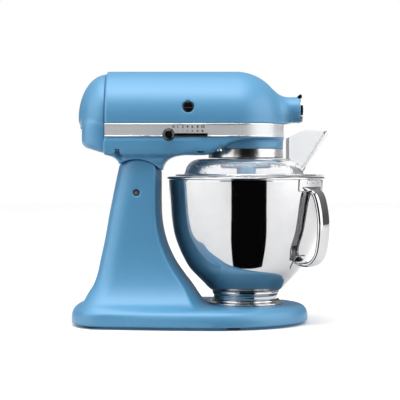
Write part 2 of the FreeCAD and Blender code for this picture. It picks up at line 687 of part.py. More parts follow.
def make_hub_gear():
    phase = 180 + 180.0 / BEVEL_HUB_TEETH
    gear = bevel(BEVEL_HUB_TEETH, BEVEL_HUB_R, BEVEL_CENTRE_R, 0.9, 1.6, phase, 0.8)
    # local Z becomes world X, local X becomes world Z
    gear.rotate(V(0, 0, 0), V(0, 1, 0), 90)
    gear.translate(V(BOWL_X, 0, HUB_Z))
    shaft = rod(7.0, BOWL_X + 17.5, 0, HUB_Z, 22, AXIS_X)
    cup = rod(11.0, BOWL_X + 36, 0, HUB_Z, 22, AXIS_X)
    whole = join([gear, shaft, cup])
    return whole.cut(box(BOWL_X + 44, BOWL_X + 60, -4.8, 4.8, HUB_Z - 4.8, HUB_Z + 4.8))


def make_beater():
    # flat beater: sleeve, outline frame and curved ribs
    x, y = BOWL_X, -PLANET_OFFSET
    sleeve = rod(9.5, x, y, 168, 28).cut(rod(5.05, x, y, 177, 20))
    slot = box(x - 10.5, x + 10.5, y - 1.9, y + 1.9, 184.5, 197)
    sleeve = sleeve.cut(slot)
    outer = [(0, 172), (12, 170), (27, 160), (37, 143), (40, 122), (36, 96), (25, 72), (11, 60)]
    inner = [(0, 163), (10, 161), (22, 152), (30, 139), (33, 121), (29.5, 98), (20, 77), (9, 67.5)]

    def loop(half):
        right = [V(x + r, y, z) for r, z in half]
        left = [V(x - r, y, z) for r, z in half[::-1]]
        points = left[:-1] + right
        curve = Part.BSplineCurve()
        curve.interpolate(Points=points, PeriodicFlag=False)
        line = Part.makeLine(points[-1], points[0])
        return Part.Face(Part.Wire([curve.toShape(), line]))

    frame = loop(outer).cut(loop(inner))
    frame.translate(V(0, -4, 0))
    frame = frame.extrude(V(0, 8, 0))
    ribs = [plate_xz([(x - 3.5, 168), (x + 3.5, 168), (x + 3.5, 62), (x - 3.5, 62)], y - 3.4, y + 3.4)]
    for z in (140, 113, 88):
        half = 34 if z > 100 else 25
        ribs.append(plate_xz([(x - half, z + 9), (x, z - 2), (x + half, z + 9),
                              (x + half, z + 15), (x, z + 4), (x - half, z + 15)],
                             y - 3.4, y + 3.4).common(box(x - half, x + half, y - 9, y + 9, 60, 170)))
    return join([sleeve, frame] + ribs)


# ------------------------------------------------------------ head trims
def make_trim_band():
    band = head_prism(HEAD_R + 0.6, HEAD_REAR_X + 0.4, BAND_LOW + 0.1, BAND_HIGH - 0.1)
    for z0, z1 in ((BAND_LOW + 0.1, BAND_LOW + 1.9), (BAND_HIGH - 1.5, BAND_HIGH - 0.1)):
        band = band.fuse(head_prism(HEAD_R + 1.2, HEAD_REAR_X + 0.4, z0, z1))
    band = band.cut(head_prism(HEAD_R - 1.15, HEAD_REAR_X - 2, BAND_LOW - 1, BAND_HIGH + 1))
    # open at the back of the gearcase seam, slot for the speed lever
    slot = box(-41, 10, -72, -60, LEVER_Z - 1.7, LEVER_Z + 1.7)
    return band.cut(slot).removeSplitter()


def make_end_cover():
    # domed back with a boxed lower part
    x0 = HEAD_REAR_X
    depth = x0 - COVER_REAR_X

    def half_dome(r, stretch, drop):
        # part of an ellipsoid, flattened when it hangs down
        matrix = FreeCAD.Matrix()
        matrix.scale(stretch / r, 1, drop / r)
        dome = Part.makeSphere(r, V(0, 0, 0)).transformGeometry(matrix)
        dome.translate(V(x0, 0, HEAD_Z))
        return dome

    def form(r, stretch, box_rear, z_low, corner):
        upper = half_dome(r, stretch, r).common(box(x0 - 60, x0, -80, 80, HEAD_Z, 400))
        lower = half_dome(r, stretch, 22.0).common(box(x0 - 60, x0, -80, 80, 240, HEAD_Z))
        low = plate_xz([(x0, z_low - 9.5), (x0, HEAD_Z), (box_rear, HEAD_Z), (box_rear, z_low)],
                       0.4 - r, r - 0.4)
        upright = [e for e in low.Edges
                   if e.BoundBox.XMax < box_rear + 0.1 and e.BoundBox.ZLength > 1]
        low = low.makeFillet(corner, upright)
        under = [e for e in low.Edges if e.CenterOfMass.z < z_low + 0.5
                 and e.CenterOfMass.x < x0 - 1]
        low = low.makeFillet(7.0, under)
        return upper, lower.fuse(low)

    dome, low = form(HEAD_R, depth, -162.4, 245.5, 26.0)
    body = dome.fuse(low)
    inner_dome, inner_low = form(HEAD_R - 3, depth - 3, -159.2, 248.7, 23.0)
    inner = inner_dome.fuse(inner_low).fuse(inner_low.translated(V(3, 0, 0)))
    body = body.cut(inner)
    return finish_end_cover(body)


def finish_end_cover(body):
    # screw hole, cooling slots and lead inlet
    body = body.fuse(rod(9.5, -167.6, 0, MOTOR_Z - 15, 6.6, AXIS_X))
    body = body.cut(rod(6.9, -175, 0, MOTOR_Z - 15, 9.4, AXIS_X))
    body = body.cut(rod(4.1, -170, 0, MOTOR_Z - 15, 20, AXIS_X))
    vents = []
    for k in range(9):
        for side in (-1, 1):
            y = side * (12 + 5.2 * k)
            vents.append(box(-175, -150, y - 1.2, y + 1.2, 250, 268))
    body = body.cut(Part.makeCompound(vents))
    body = body.cut(rod(7.05, -175, 34, 281, 30, AXIS_X))
    return body


def make_end_screw():
    head = rod(6.5, COVER_REAR_X + 1.3, 0, MOTOR_Z - 15, 2.6, AXIS_X)
    head = head.cut(box(-175, COVER_REAR_X + 2.5, -7, 7, MOTOR_Z - 15.7, MOTOR_Z - 14.3))
    shank = rod(3.9, COVER_REAR_X + 3, 0, MOTOR_Z - 15, 54, AXIS_X)
    return head.fuse(shank).removeSplitter()


def make_cord_gland():
    # moulded inlet bushing, the lead itself is left off
    body = rod(7.0, -167.0, 34, 281, 10.5, AXIS_X)
    lip = rod(9.5, -169.4, 34, 281, 2.4, AXIS_X)
    return body.fuse(lip).cut(rod(3.6, -170, 34, 281, 20, AXIS_X)).removeSplitter()


# ------------------------------------------------------- inside the head
def make_stator():
    stack = rod(41.9, -87, 0, MOTOR_Z, 46, AXIS_X).cut(rod(25.0, -88, 0, MOTOR_Z, 50, AXIS_X))
    for side in (-1, 1):
        pocket = box(-89, -40, -12, 12, 0, 16)
        pocket.translate(V(0, 0, MOTOR_Z + (22 if side > 0 else -38)))
        stack = stack.cut(pocket.common(rod(35, -89, 0, MOTOR_Z, 50, AXIS_X)))
    coils = []
    for side in (-1, 1):
        coil = tube(36, 27.5, -90.5, 0, MOTOR_Z, 3.5, AXIS_X)
        coil2 = tube(36, 27.5, -41, 0, MOTOR_Z, 3.5, AXIS_X)
        half = box(-100, -30, -40, 40, MOTOR_Z + 6, MOTOR_Z + 40)
        if side < 0:
            half = box(-100, -30, -40, 40, MOTOR_Z - 40, MOTOR_Z - 6)
        coils += [coil.common(half), coil2.common(half)]
    return join([stack] + coils)


def head_slice(x0, x1, z0):
    return head_form(HEAD_R - HEAD_WALL - 0.2, HEAD_REAR_X, z0).common(
        box(x0, x1, -100, 100, z0, 400))


def make_front_bracket():
    plate = head_slice(6, 10, HEAD_SPLIT_Z + 0.5)
    seat = rod(13, 3, 0, MOTOR_Z, 10, AXIS_X)
    plate = plate.fuse(seat).cut(rod(10.5, 0, 0, MOTOR_Z, 20, AXIS_X))
    for y in (-38, 38):
        plate = plate.cut(rod(9, 0, y, MOTOR_Z + 12, 20, AXIS_X))
    return plate


def make_rear_bracket():
    plate = head_slice(-118, -114, HEAD_SPLIT_Z + 0.5)
    seat = rod(12, -121, 0, MOTOR_Z, 10, AXIS_X)
    plate = plate.fuse(seat).cut(rod(9.5, -130, 0, MOTOR_Z, 30, AXIS_X))
    for k in range(6):
        hole = turn_about(rod(9, -130, 32, MOTOR_Z, 30, AXIS_X), V(0, 0, MOTOR_Z), AXIS_X, 60 * k + 30)
        plate = plate.cut(hole)
    return plate.cut(rod(3.95, -125, 0, MOTOR_Z - 15, 20, AXIS_X))


def make_bearings():
    front = tube(10.5, 4.05, 4, 0, MOTOR_Z, 8, AXIS_X)
    rear = tube(9.5, 4.05, -120, 0, MOTOR_Z, 8, AXIS_X)
    return [front, rear]


def both_sides(shape):
    return [shape, shape.mirror(V(0, 0, 0), AXIS_Y)]


def make_brush_holders():
    holder = tube(7.5, 3.6, BRUSH_X, 13.5, MOTOR_Z, 46.3, AXIS_Y)
    return both_sides(holder)


def make_brushes():
    carbon = rod(3.5, BRUSH_X, 11.3, MOTOR_Z, 14, AXIS_Y)
    spring = tube(3.2, 2.2, BRUSH_X, 25.3, MOTOR_Z, 34.5, AXIS_Y)
    return both_sides(carbon.fuse(spring))


def make_brush_caps():
    cap = rod(7.4, BRUSH_X, 59.8, MOTOR_Z, 5.2, AXIS_Y)
    cap = cap.cut(box(BRUSH_X - 6, BRUSH_X + 6, 64.0, 68, MOTOR_Z - 0.8, MOTOR_Z + 0.8))
    return both_sides(cap)


def make_governor():
    # speed governor plate with contact arms behind the fan
    plate = rod(26, -127, 0, MOTOR_Z, 1.6, AXIS_X)
    arms = box(-131, -127, -20, 20, MOTOR_Z - 14, MOTOR_Z - 11)
    arms = arms.fuse(box(-131, -127, -20, 20, MOTOR_Z + 11, MOTOR_Z + 14))
    rim = tube(62.2, 24, -127, 0, HEAD_Z, 1.6, AXIS_X).common(
        box(-140, -100, -8, 8, HEAD_SPLIT_Z, 400))
    pads = [box(-126, -118, y - 4, y + 4, MOTOR_Z - 20, MOTOR_Z - 12) for y in (-12, 12)]
    pads = [p.cut(rod(12, -130, 0, MOTOR_Z, 20, AXIS_X)) for p in pads]
    return join([plate, arms, rim] + pads).cut(rod(4.4, -140, 0, MOTOR_Z - 15, 20, AXIS_X))


def make_phase_board():
    board = box(-119, -60, -50, 50, 247.0, 248.6)
    parts = [box(-110, -92, -44, -28, 248.6, 253.5), box(-84, -70, 24, 40, 248.6, 253.0),
             rod(3.4, -100, 20, 248.6, 4.5), rod(3.4, -100, 32, 248.6, 4.5)]
    return join([board] + parts)


def make_lower_bush():
    bush = tube(9.0, 7.05, BOWL_X, 0, 243.2, 6.8)
    return bush


def make_wheel_bracket():
    # bridge over the worm wheel carrying its upper bearing
    x, y = WHEEL_SPOT
    leg = box(x - 5, x + 5, y + 25.5, y + 29.5, 262, 314.5)
    bar = box(x - 5, x + 5, y - 9, y + 29.5, 311.0, 314.5)
    inner = head_form(HEAD_R - HEAD_WALL - 0.3, HEAD_REAR_X, 240)
    foot = box(x - 7, x + 7, y + 16, y + 31, 260.8, 264)
    whole = join([bar, leg, foot]).common(inner)
    whole = whole.cut(rod(24.3, x, y, 290, 20.9))
    return whole.cut(rod(4.06, x, y, 300, 30))


# -------------------------------------------------------------- controls
def make_speed_lever():
    # drawn pointing to -Y, then swung to the zero position
    arm = box(-2.2, 2.2, -77.5, -4, LEVER_Z - 1.2, LEVER_Z + 1.2)
    hub = rod(6.5, 0, 0, LEVER_Z - 3, 6)
    lever = join([arm, hub])
    lever = lever.cut(rod(3.05, 0, 0, LEVER_Z - 5, 10))
    lever.translate(V(LEVER_X, 0, 0))
    return turn_about(lever, V(LEVER_X, 0, 0), AXIS_Z, LEVER_REST)


def make_speed_knob():
    ball = Part.makeSphere(8.7, V(LEVER_X, -84.3, LEVER_Z))
    ball = ball.common(box(LEVER_X - 20, LEVER_X + 20, -92.0, -60, LEVER_Z - 20, LEVER_Z + 20))
    neck = rod(4.2, LEVER_X, -79.5, LEVER_Z, 4, AXIS_Y)
    knob = ball.fuse(neck)
    knob = knob.cut(box(LEVER_X - 2.2, LEVER_X + 2.2, -77.5, -60, LEVER_Z - 1.2, LEVER_Z + 1.2))
    return turn_about(knob, V(LEVER_X, 0, 0), AXIS_Z, LEVER_REST)


def make_lever_pivot():
    post = rod(3.0, LEVER_X, 0, 243.5, 23)
    flange = rod(9, LEVER_X, 0, 245.0, 12.5).cut(rod(2.9, LEVER_X, 0, 244, 15))
    return post.fuse(flange).removeSplitter()


def make_lock_lever():
    shaft = rod(4.0, LOCK_X, 22.6, LOCK_Z, 34, AXIS_Y)
    hub = rod(7.0, LOCK_X, 53.2, LOCK_Z, 6, AXIS_Y)
    arm = box(LOCK_X - 3.5, LOCK_X + 3.5, 54.2, 58.6, LOCK_Z - 26, LOCK_Z)
    tip = rod(5.5, LOCK_X, 54.2, LOCK_Z - 26, 6.5, AXIS_Y)
    return join([shaft, hub, arm, tip])


# -------------------------------------------------------------------- hub
def make_hub_cover():
    cap = rod(HUB_R, HUB_FACE_X + 0.3, 0, HUB_Z, 2.2, AXIS_X)
    dome = Part.makeSphere(52, V(HUB_FACE_X + 4.3 - 52, 0, HUB_Z))
    dome = dome.common(rod(HUB_R - 1.2, HUB_FACE_X + 1, 0, HUB_Z, 10, AXIS_X))
    ear = box(138.9, 142.0, -5.8, 5.8, HUB_Z + 16.6, HUB_Z + 20.0)
    barrel = rod(2.3, 139.6, -5.8, HUB_Z + 19.2, 11.6, AXIS_Y)
    ear = ear.cut(rod(HUB_R + 0.3, 130, 0, HUB_Z, 10.2, AXIS_X))
    whole = join([cap, dome, ear, barrel])
    return whole.cut(rod(1.25, 139.6, -10, HUB_Z + 19.2, 20, AXIS_Y))


def make_cover_hinge():
    pin = rod(1.2, 139.6, -8.8, HUB_Z + 19.2, 17.6, AXIS_Y)
    lugs = []
    for y in (-8.8, 6.2):
        lug = rod(2.3, 139.6, y, HUB_Z + 19.2, 2.6, AXIS_Y)
        foot = box(136.0, 141.0, y, y + 2.6, HUB_Z + 15.5, HUB_Z + 19.2)
        lugs.append(lug.fuse(foot).cut(rod(HUB_R, 100, 0, HUB_Z, HUB_FACE_X - 100, AXIS_X)))
    lugs = [g.cut(box(HUB_FACE_X, 150, -20, 20, 290, HUB_Z + 17.4)) for g in lugs]
    return join([pin] + lugs)


def make_attachment_knob():
    screw = rod(2.5, 130, 15.6, HUB_Z, 14, AXIS_Y)
    knob = rod(9.5, 130, 21.5, HUB_Z, 14, AXIS_Y)
    flutes = []
    for k in range(10):
        flute = rod(1.5, 139.8, 22.5, HUB_Z, 16, AXIS_Y)
        flutes.append(turn_about(flute, V(130, 0, HUB_Z), AXIS_Y, 36 * k))
    return screw.fuse(knob.cut(Part.makeCompound(flutes))).removeSplitter()


def make_hub_bush():
    sleeve = rod(HUB_BORE_R + 1.5, 90, 0, HUB_Z, 50, AXIS_X)
    sleeve = sleeve.cut(rod(HUB_BORE_R, 122.5, 0, HUB_Z, 20, AXIS_X))
    sleeve = sleeve.cut(rod(HUB_BORE_R - 1.5, 95, 0, HUB_Z, 30, AXIS_X))
    sleeve = sleeve.cut(rod(7.05, 80, 0, HUB_Z, 20, AXIS_X))
    return sleeve.cut(rod(2.6, 130, 10, HUB_Z, 20, AXIS_Y)).removeSplitter()


# ------------------------------------------------------------------ shield
def make_shield_ring():
    ring = turned([(54.5, 229.0), (66.0, 228.6), (76.0, 224.5), (82.5, 217.5), (85.5, 208.6),
                   (98.5, 207.2), (98.5, 204.9), (83.4, 206.3), (80.6, 216.3), (74.8, 222.7),
                   (65.2, 226.5), (54.5, 226.8)], BOWL_X, 0)
    # three tabs rest over the bowl rim
    tabs = [box(BOWL_X + 88, BOWL_X + 110.5, -9, 9, 205.0, 207.0),
            box(BOWL_X - 9, BOWL_X + 9, 88, 110.5, 205.0, 207.0),
            box(BOWL_X - 9, BOWL_X + 9, -110.5, -88, 205.0, 207.0)]
    ring = join([ring] + tabs)
    # window under the chute
    return ring.cut(box(BOWL_X + 61, BOWL_X + 86, -33, 33, 200, 240))


def make_chute():
    # open ended hopper that leans out over the rim and stands on the ring
    def hopper(t, half):
        outline = [(58.4 + t, 212 - t), (58.4 + t, 258.0 + t), (81, 269.0 + t),
                   (114.5 - 1.4 * t, 267.2 + t), (78.0 - 1.2 * t, 212 - t)]
        solid = plate_xz(outline, -half, half)
        solid.translate(V(BOWL_X, 0, 0))
        return solid

    body = hopper(0, 36).cut(hopper(2.0, 34))
    under = turned([(0, 180), (0, 229), (54.5, 229.0), (66.0, 228.6), (76.0, 224.5),
                    (82.5, 217.5), (85.5, 208.6), (91.0, 207.2), (91.0, 180)], BOWL_X, 0)
    body = body.cut(under)
    return body.cut(rod(57.6, BOWL_X, 0, 200, 90))


NODES = [
    ("base_casting", make_base),
    ("rubber_feet", make_feet),
    ("pedestal", make_pedestal),
    ("pedestal_screws", make_pedestal_screws),
    ("bowl_clamp_plate", make_clamp_plate),
    ("clamp_plate_screws", make_clamp_screws),
    ("hinge_pin", make_hinge_pin),
    ("hinge_set_screw", make_set_screw),
    ("head_lock_lever", make_lock_lever),
    ("bowl_shell", make_bowl_shell),
    ("bowl_foot_ring", make_bowl_foot),
    ("bowl_handle", make_handle),
    ("motor_housing", make_motor_housing),
    ("gearcase_cover", make_gearcase),
    ("trim_band", make_trim_band),
    ("end_cover", make_end_cover),
    ("end_cover_screw", make_end_screw),
    ("housing_screws", make_housing_screws),
    ("cord_gland", make_cord_gland),
    ("motor_stator", make_stator),
    ("front_bearing_bracket", make_front_bracket),
    ("rear_bearing_bracket", make_rear_bracket),
    ("motor_bearings", make_bearings),
    ("brush_holders", make_brush_holders),
    ("carbon_brushes", make_brushes),
    ("brush_caps", make_brush_caps),
    ("speed_governor", make_governor),
    ("phase_control_board", make_phase_board),
    ("armature", make_armature),
    ("worm_wheel", make_worm_wheel),
    ("worm_wheel_bracket", make_wheel_bracket),
    ("centre_shaft_bush", make_lower_bush),
    ("ring_gear", make_ring_gear),
    ("drip_ring", make_drip_ring),
    ("planetary", make_planetary),
    ("agitator_shaft", make_agitator),
    ("flat_beater", make_beater),
    ("hub_gear", make_hub_gear),
    ("hub_socket_bush", make_hub_bush),
    ("hub_cover", make_hub_cover),
    ("hub_cover_hinge", make_cover_hinge),
    ("attachment_knob", make_attachment_knob),
    ("speed_lever", make_speed_lever),
    ("speed_knob", make_speed_knob),
    ("lever_pivot", make_lever_pivot),
    ("shield_ring", make_shield_ring),
    ("shield_chute", make_chute),
]

for name, make in NODES:
    save(name, make())
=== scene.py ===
import json
import math

import bpy
import numpy as np
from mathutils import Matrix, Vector


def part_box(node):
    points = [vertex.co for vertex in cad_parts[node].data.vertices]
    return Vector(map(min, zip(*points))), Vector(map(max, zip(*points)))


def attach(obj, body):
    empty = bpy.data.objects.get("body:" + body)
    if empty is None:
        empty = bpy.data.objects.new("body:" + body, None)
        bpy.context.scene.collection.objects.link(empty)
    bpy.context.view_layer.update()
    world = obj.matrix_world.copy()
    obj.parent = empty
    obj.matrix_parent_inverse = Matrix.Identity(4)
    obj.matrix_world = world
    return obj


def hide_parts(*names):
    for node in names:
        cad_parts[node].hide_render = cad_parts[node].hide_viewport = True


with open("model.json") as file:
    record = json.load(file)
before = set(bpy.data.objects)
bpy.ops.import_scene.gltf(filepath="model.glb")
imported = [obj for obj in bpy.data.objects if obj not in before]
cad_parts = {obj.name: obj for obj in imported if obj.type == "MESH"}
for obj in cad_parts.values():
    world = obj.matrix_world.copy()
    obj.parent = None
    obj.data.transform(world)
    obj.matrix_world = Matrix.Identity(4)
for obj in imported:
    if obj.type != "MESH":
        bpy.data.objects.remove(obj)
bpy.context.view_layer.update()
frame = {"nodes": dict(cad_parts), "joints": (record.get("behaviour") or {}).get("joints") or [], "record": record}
MM = 0.001


# ------------------------------------------------------------ frame sizes
# Sizes are in millimetres up to the stage; add_mesh turns them into metres.
def mm_box(node):
    low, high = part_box(node)
    return np.array(low) / MM, np.array(high) / MM


def joint_point(name):
    for joint in frame["joints"]:
        if joint["name"] == name:
            return [c / MM for c in joint["pos_m"]]
    raise ValueError(name)


BOWL_X = joint_point("bowl_twist")[0]
PIN_X, _, PIN_Z = joint_point("head_tilt")
LEVER_Z = joint_point("speed_lever_swing")[2]
RIM_Z = mm_box("bowl_shell")[1][2]
HEAD_REAR = mm_box("motor_housing")[0][0]
HUB_FACE, HEAD_R, HEAD_TOP = mm_box("motor_housing")[1]
HEAD_Z = HEAD_TOP - HEAD_R
BAND_LOW, BAND_HIGH = mm_box("trim_band")[0][2], mm_box("trim_band")[1][2]
HUB_Z = frame["record"]["mounts"][1]["pos_m"][2] / MM
BASE_LOW = mm_box("base_casting")[0][2]
BASE_TOP = mm_box("base_casting")[1][2]
BRUSH_X, _, BRUSH_Z = 0.5 * (mm_box("brush_caps")[0] + mm_box("brush_caps")[1])
COVER_REAR = mm_box("end_cover")[0][0]
PIN_R = 0.5 * (mm_box("hinge_pin")[1][2] - mm_box("hinge_pin")[0][2])

NOSE_X = 50.0                   # the head's straight length ends and its round nose begins
HINGE_R = 45.0                  # round of the column top and of the head's seat on it
HINGE_GAP = 0.6
HUB_R, HUB_BORE_R = 18.0, 16.0
HOUSING_SKIN, GEARCASE_SKIN, COVER_SKIN = 3.5, 3.6, 3.0
COLLAR_R = 52.0                 # ring of the gearcase that holds the drip ring
SLOT_X, SLOT_HALF_X, SLOT_HALF_Z = -15.5, 25.5, 2.0      # speed lever slot
POCKET_X, POCKET_Y = -111.8, 62.5                        # case screws by the neck, whose dark heads are also painted shade in the pockets
BAND_GAP = 0.75                 # edge wires stand off the head by this much
BAND_REAR = HEAD_REAR + 0.6
WIRE_SIDES, WIRE_OUT, WIRE_UP = 8, 0.6, 0.75
DIAL_DOTS_Z, DIAL_DIGITS_Z, DIAL_DIGIT_SIZE = 266.4, 270.4, 5.4
DOT_SIDES = 20


# -------------------------------------------------------------- materials
def material(name):
    mat = bpy.data.materials.new(name)
    mat.use_nodes = True
    nodes = mat.node_tree.nodes
    links = mat.node_tree.links
    return mat, nodes, links, nodes["Principled BSDF"]


def noise(nodes, links, scale, detail=4.0, stretch=(1, 1, 1)):
    coord = nodes.new("ShaderNodeTexCoord")
    mapping = nodes.new("ShaderNodeMapping")
    mapping.inputs["Scale"].default_value = stretch
    tex = nodes.new("ShaderNodeTexNoise")
    tex.inputs["Scale"].default_value = scale
    tex.inputs["Detail"].default_value = detail
    links.new(coord.outputs["Object"], mapping.inputs["Vector"])
    links.new(mapping.outputs["Vector"], tex.inputs["Vector"])
    return tex


def ramp(nodes, links, source, low, high, colours):
    node = nodes.new("ShaderNodeValToRGB")
    node.color_ramp.elements[0].position = low
    node.color_ramp.elements[1].position = high
    node.color_ramp.elements[0].color = (*colours[0], 1)
    node.color_ramp.elements[1].color = (*colours[1], 1)
    links.new(source, node.inputs["Fac"])
    return node.outputs["Color"]


def span(nodes, links, source, low, high):
    node = nodes.new("ShaderNodeMapRange")
    node.inputs["To Min"].default_value = low
    node.inputs["To Max"].default_value = high
    links.new(source, node.inputs["Value"])
    return node.outputs["Result"]


def bump(nodes, links, source, strength, distance):
    node = nodes.new("ShaderNodeBump")
    node.inputs["Strength"].default_value = strength
    node.inputs["Distance"].default_value = distance
    links.new(source, node.inputs["Height"])
    return node.outputs["Normal"]


# A finish is a noise between two colours and two roughnesses, with a finer bump.
def finish_material(name, colours, metallic, rough, scale, bumpiness, stretch=(1, 1, 1),
                    coat=0.0, coat_rough=0.2, distance=0.0002, detail=4.0):
    mat, nodes, links, shader = material(name)
    tex = noise(nodes, links, scale, detail, stretch)
    colour = ramp(nodes, links, tex.outputs["Fac"], 0.3, 0.7, colours)
    links.new(colour, shader.inputs["Base Color"])
    links.new(span(nodes, links, tex.outputs["Fac"], *rough), shader.inputs["Roughness"])
    fine = noise(nodes, links, scale * 3.1, 2.0, stretch)
    links.new(bump(nodes, links, fine.outputs["Fac"], bumpiness, distance), shader.inputs["Normal"])
    shader.inputs["Metallic"].default_value = metallic
    shader.inputs["Coat Weight"].default_value = coat
    shader.inputs["Coat Roughness"].default_value = coat_rough
    return mat


def clear_material():
    mat, nodes, links, shader = material("clear_moulding")
    tex = noise(nodes, links, 60.0)
    links.new(span(nodes, links, tex.outputs["Fac"], 0.02, 0.07), shader.inputs["Roughness"])
    links.new(bump(nodes, links, tex.outputs["Fac"], 0.04, 0.0004), shader.inputs["Normal"])
    shader.inputs["Base Color"].default_value = (0.92, 0.93, 0.94, 1)
    shader.inputs["Transmission Weight"].default_value = 0.94
    shader.inputs["IOR"].default_value = 1.24
    return mat


PAINT = finish_material("satin_paint", ((0.078, 0.272, 0.470), (0.088, 0.290, 0.495)), 0.10,
                        (0.40, 0.48), 900.0, 0.05, coat=0.30, coat_rough=0.34)
STEEL = finish_material("polished_steel", ((0.47, 0.47, 0.475), (0.50, 0.50, 0.505)), 1.0,
                        (0.04, 0.07), 60.0, 0.004)
BRUSHED = finish_material("brushed_steel", ((0.42, 0.42, 0.42), (0.48, 0.48, 0.48)), 1.0,
                          (0.16, 0.24), 160.0, 0.02, stretch=(1, 1, 22))
BAND = finish_material("satin_band", ((0.60, 0.61, 0.62), (0.67, 0.68, 0.69)), 0.35, (0.30, 0.40),
                       300.0, 0.05, stretch=(0.05, 0.05, 6))
CHROME = finish_material("chrome_plate", ((0.86, 0.86, 0.87), (0.92, 0.92, 0.93)), 1.0,
                         (0.03, 0.07), 60.0, 0.01)
CAST = finish_material("cast_alloy", ((0.42, 0.43, 0.44), (0.52, 0.53, 0.54)), 1.0, (0.40, 0.58),
                       500.0, 0.25)
GLOSS = finish_material("black_gloss", ((0.004, 0.004, 0.005), (0.007, 0.007, 0.008)), 0.0,
                        (0.10, 0.16), 150.0, 0.02, coat=0.15, coat_rough=0.05)
MATTE = finish_material("black_matte", ((0.016, 0.016, 0.016), (0.030, 0.030, 0.030)), 0.0,
                        (0.50, 0.65), 600.0, 0.2)
RUBBER = finish_material("foot_rubber", ((0.020, 0.020, 0.020), (0.045, 0.045, 0.045)), 0.0,
                         (0.65, 0.85), 700.0, 0.3)
GEAR = finish_material("gear_steel", ((0.34, 0.34, 0.35), (0.46, 0.46, 0.47)), 1.0, (0.25, 0.40),
                       300.0, 0.1, stretch=(1, 1, 5))
SCREW = finish_material("zinc_steel", ((0.50, 0.50, 0.50), (0.62, 0.62, 0.60)), 1.0, (0.25, 0.42),
                        400.0, 0.12)
BRONZE = finish_material("bronze", ((0.45, 0.27, 0.10), (0.60, 0.40, 0.17)), 1.0, (0.28, 0.44),
                         350.0, 0.12)
IRON = finish_material("motor_iron", ((0.10, 0.10, 0.11), (0.19, 0.18, 0.18)), 0.8, (0.45, 0.65),
                       400.0, 0.25, stretch=(12, 1, 1))
CARBON = finish_material("brush_carbon", ((0.02, 0.02, 0.02), (0.05, 0.05, 0.05)), 0.2,
                         (0.5, 0.7), 800.0, 0.2)
BOARD = finish_material("board_coat", ((0.02, 0.10, 0.04), (0.04, 0.16, 0.07)), 0.0, (0.30, 0.45),
                        260.0, 0.15)
BEATER = finish_material("beater_coat", ((0.66, 0.67, 0.68), (0.78, 0.79, 0.80)), 0.9,
                         (0.28, 0.42), 280.0, 0.15)
INK = finish_material("dial_ink", ((0.02, 0.02, 0.02), (0.04, 0.04, 0.04)), 0.0, (0.45, 0.6),
                      500.0, 0.02)
CLEAR = clear_material()

BY_SLOT = {
    "body_paint": PAINT, "bowl_steel": STEEL, "band_metal": BAND, "bright_chrome": CHROME,
    "cast_grey": CAST, "black_gloss": GLOSS, "black_matte": MATTE, "foot_rubber": RUBBER,
    "clear_plastic": CLEAR, "gear_steel": GEAR, "screw_steel": SCREW, "bronze": BRONZE,
    "motor_iron": IRON, "brush_carbon": CARBON, "board_green": BOARD, "beater_alloy": BEATER,
}
NODE_SLOT = {s["node"]: s["material_slot"] for s in frame["record"]["subparts"]}
for node, obj in frame["nodes"].items():
    obj.data.materials.clear()
    obj.data.materials.append(BY_SLOT[NODE_SLOT[node]])


# ---------------------------------------------------------- mesh builders
def add_mesh(name, verts, faces, body, mat, replaced=(), smooth=True):
    mesh = bpy.data.meshes.new(name)
    mesh.from_pydata([tuple(v) for v in np.asarray(verts) * MM], [], [tuple(f) for f in faces])
    mesh.validate()
    mesh.update()
    mesh.polygons.foreach_set("use_smooth", [smooth] * len(mesh.polygons))
    mesh.materials.append(mat)
    obj = bpy.data.objects.new(name, mesh)
    bpy.context.scene.collection.objects.link(obj)
    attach(obj, body)
    if replaced:
        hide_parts(*replaced)
    return obj


def lathe(profile, centre, steps=128, axis="z"):
    # closed profile of (radius, height) turned about an axis through centre
    profile = np.asarray(profile, float)
    n = len(profile)
    verts, faces = [], []
    for k in range(steps):
        a = 2 * math.pi * k / steps
        c, s = math.cos(a), math.sin(a)
        for r, h in profile:
            if axis == "z":
                verts.append((centre[0] + r * c, centre[1] + r * s, centre[2] + h))
            elif axis == "x":
                verts.append((centre[0] + h, centre[1] + r * c, centre[2] + r * s))
            else:
                verts.append((centre[0] + r * s, centre[1] + h, centre[2] + r * c))
    for k in range(steps):
        m = (k + 1) % steps
        for i in range(n):
            j = (i + 1) % n
            if profile[i][0] < 1e-6 and profile[j][0] < 1e-6:
                continue
            faces.append((k * n + i, m * n + i, m * n + j, k * n + j))
    return weld(verts, faces)


def weld(verts, faces):
    verts = np.asarray(verts, float)
    keys = np.round(verts * 2000).astype(np.int64)
    _, first, inverse = np.unique(keys, axis=0, return_index=True, return_inverse=True)
    inverse = inverse.reshape(-1)
    out = []
    for face in faces:
        ring = []
        for i in face:
            w = int(inverse[i])
            if not ring or ring[-1] != w:
                ring.append(w)
        if len(ring) > 1 and ring[0] == ring[-1]:
            ring.pop()
        if len(set(ring)) > 2:
            out.append(ring)
    return verts[first], out


def catmull(points, per):
    # smooth curve through the points
    p = np.asarray(points, float)
    p = np.vstack([2 * p[0] - p[1], p, 2 * p[-1] - p[-2]])
    out = []
    for i in range(1, len(p) - 2):
        for k in range(per):
            t = k / per
            out.append(0.5 * ((2 * p[i]) + (p[i + 1] - p[i - 1]) * t
                              + (2 * p[i - 1] - 5 * p[i] + 4 * p[i + 1] - p[i + 2]) * t * t
                              + (3 * p[i] - p[i - 1] - 3 * p[i + 1] + p[i + 2]) * t ** 3))
    out.append(p[-2])
    return np.array(out)


def offset_line(points, amount):
    p = np.asarray(points, float)
    t = np.gradient(p, axis=0)
    t /= np.linalg.norm(t, axis=1)[:, None]
    return p + amount * np.stack([-t[:, 1], t[:, 0]], axis=1)


def smooth_min(a, b, k):
    h = np.clip(0.5 + 0.5 * (b - a) / k, 0, 1)
    return b + (a - b) * h - k * h * (1 - h)


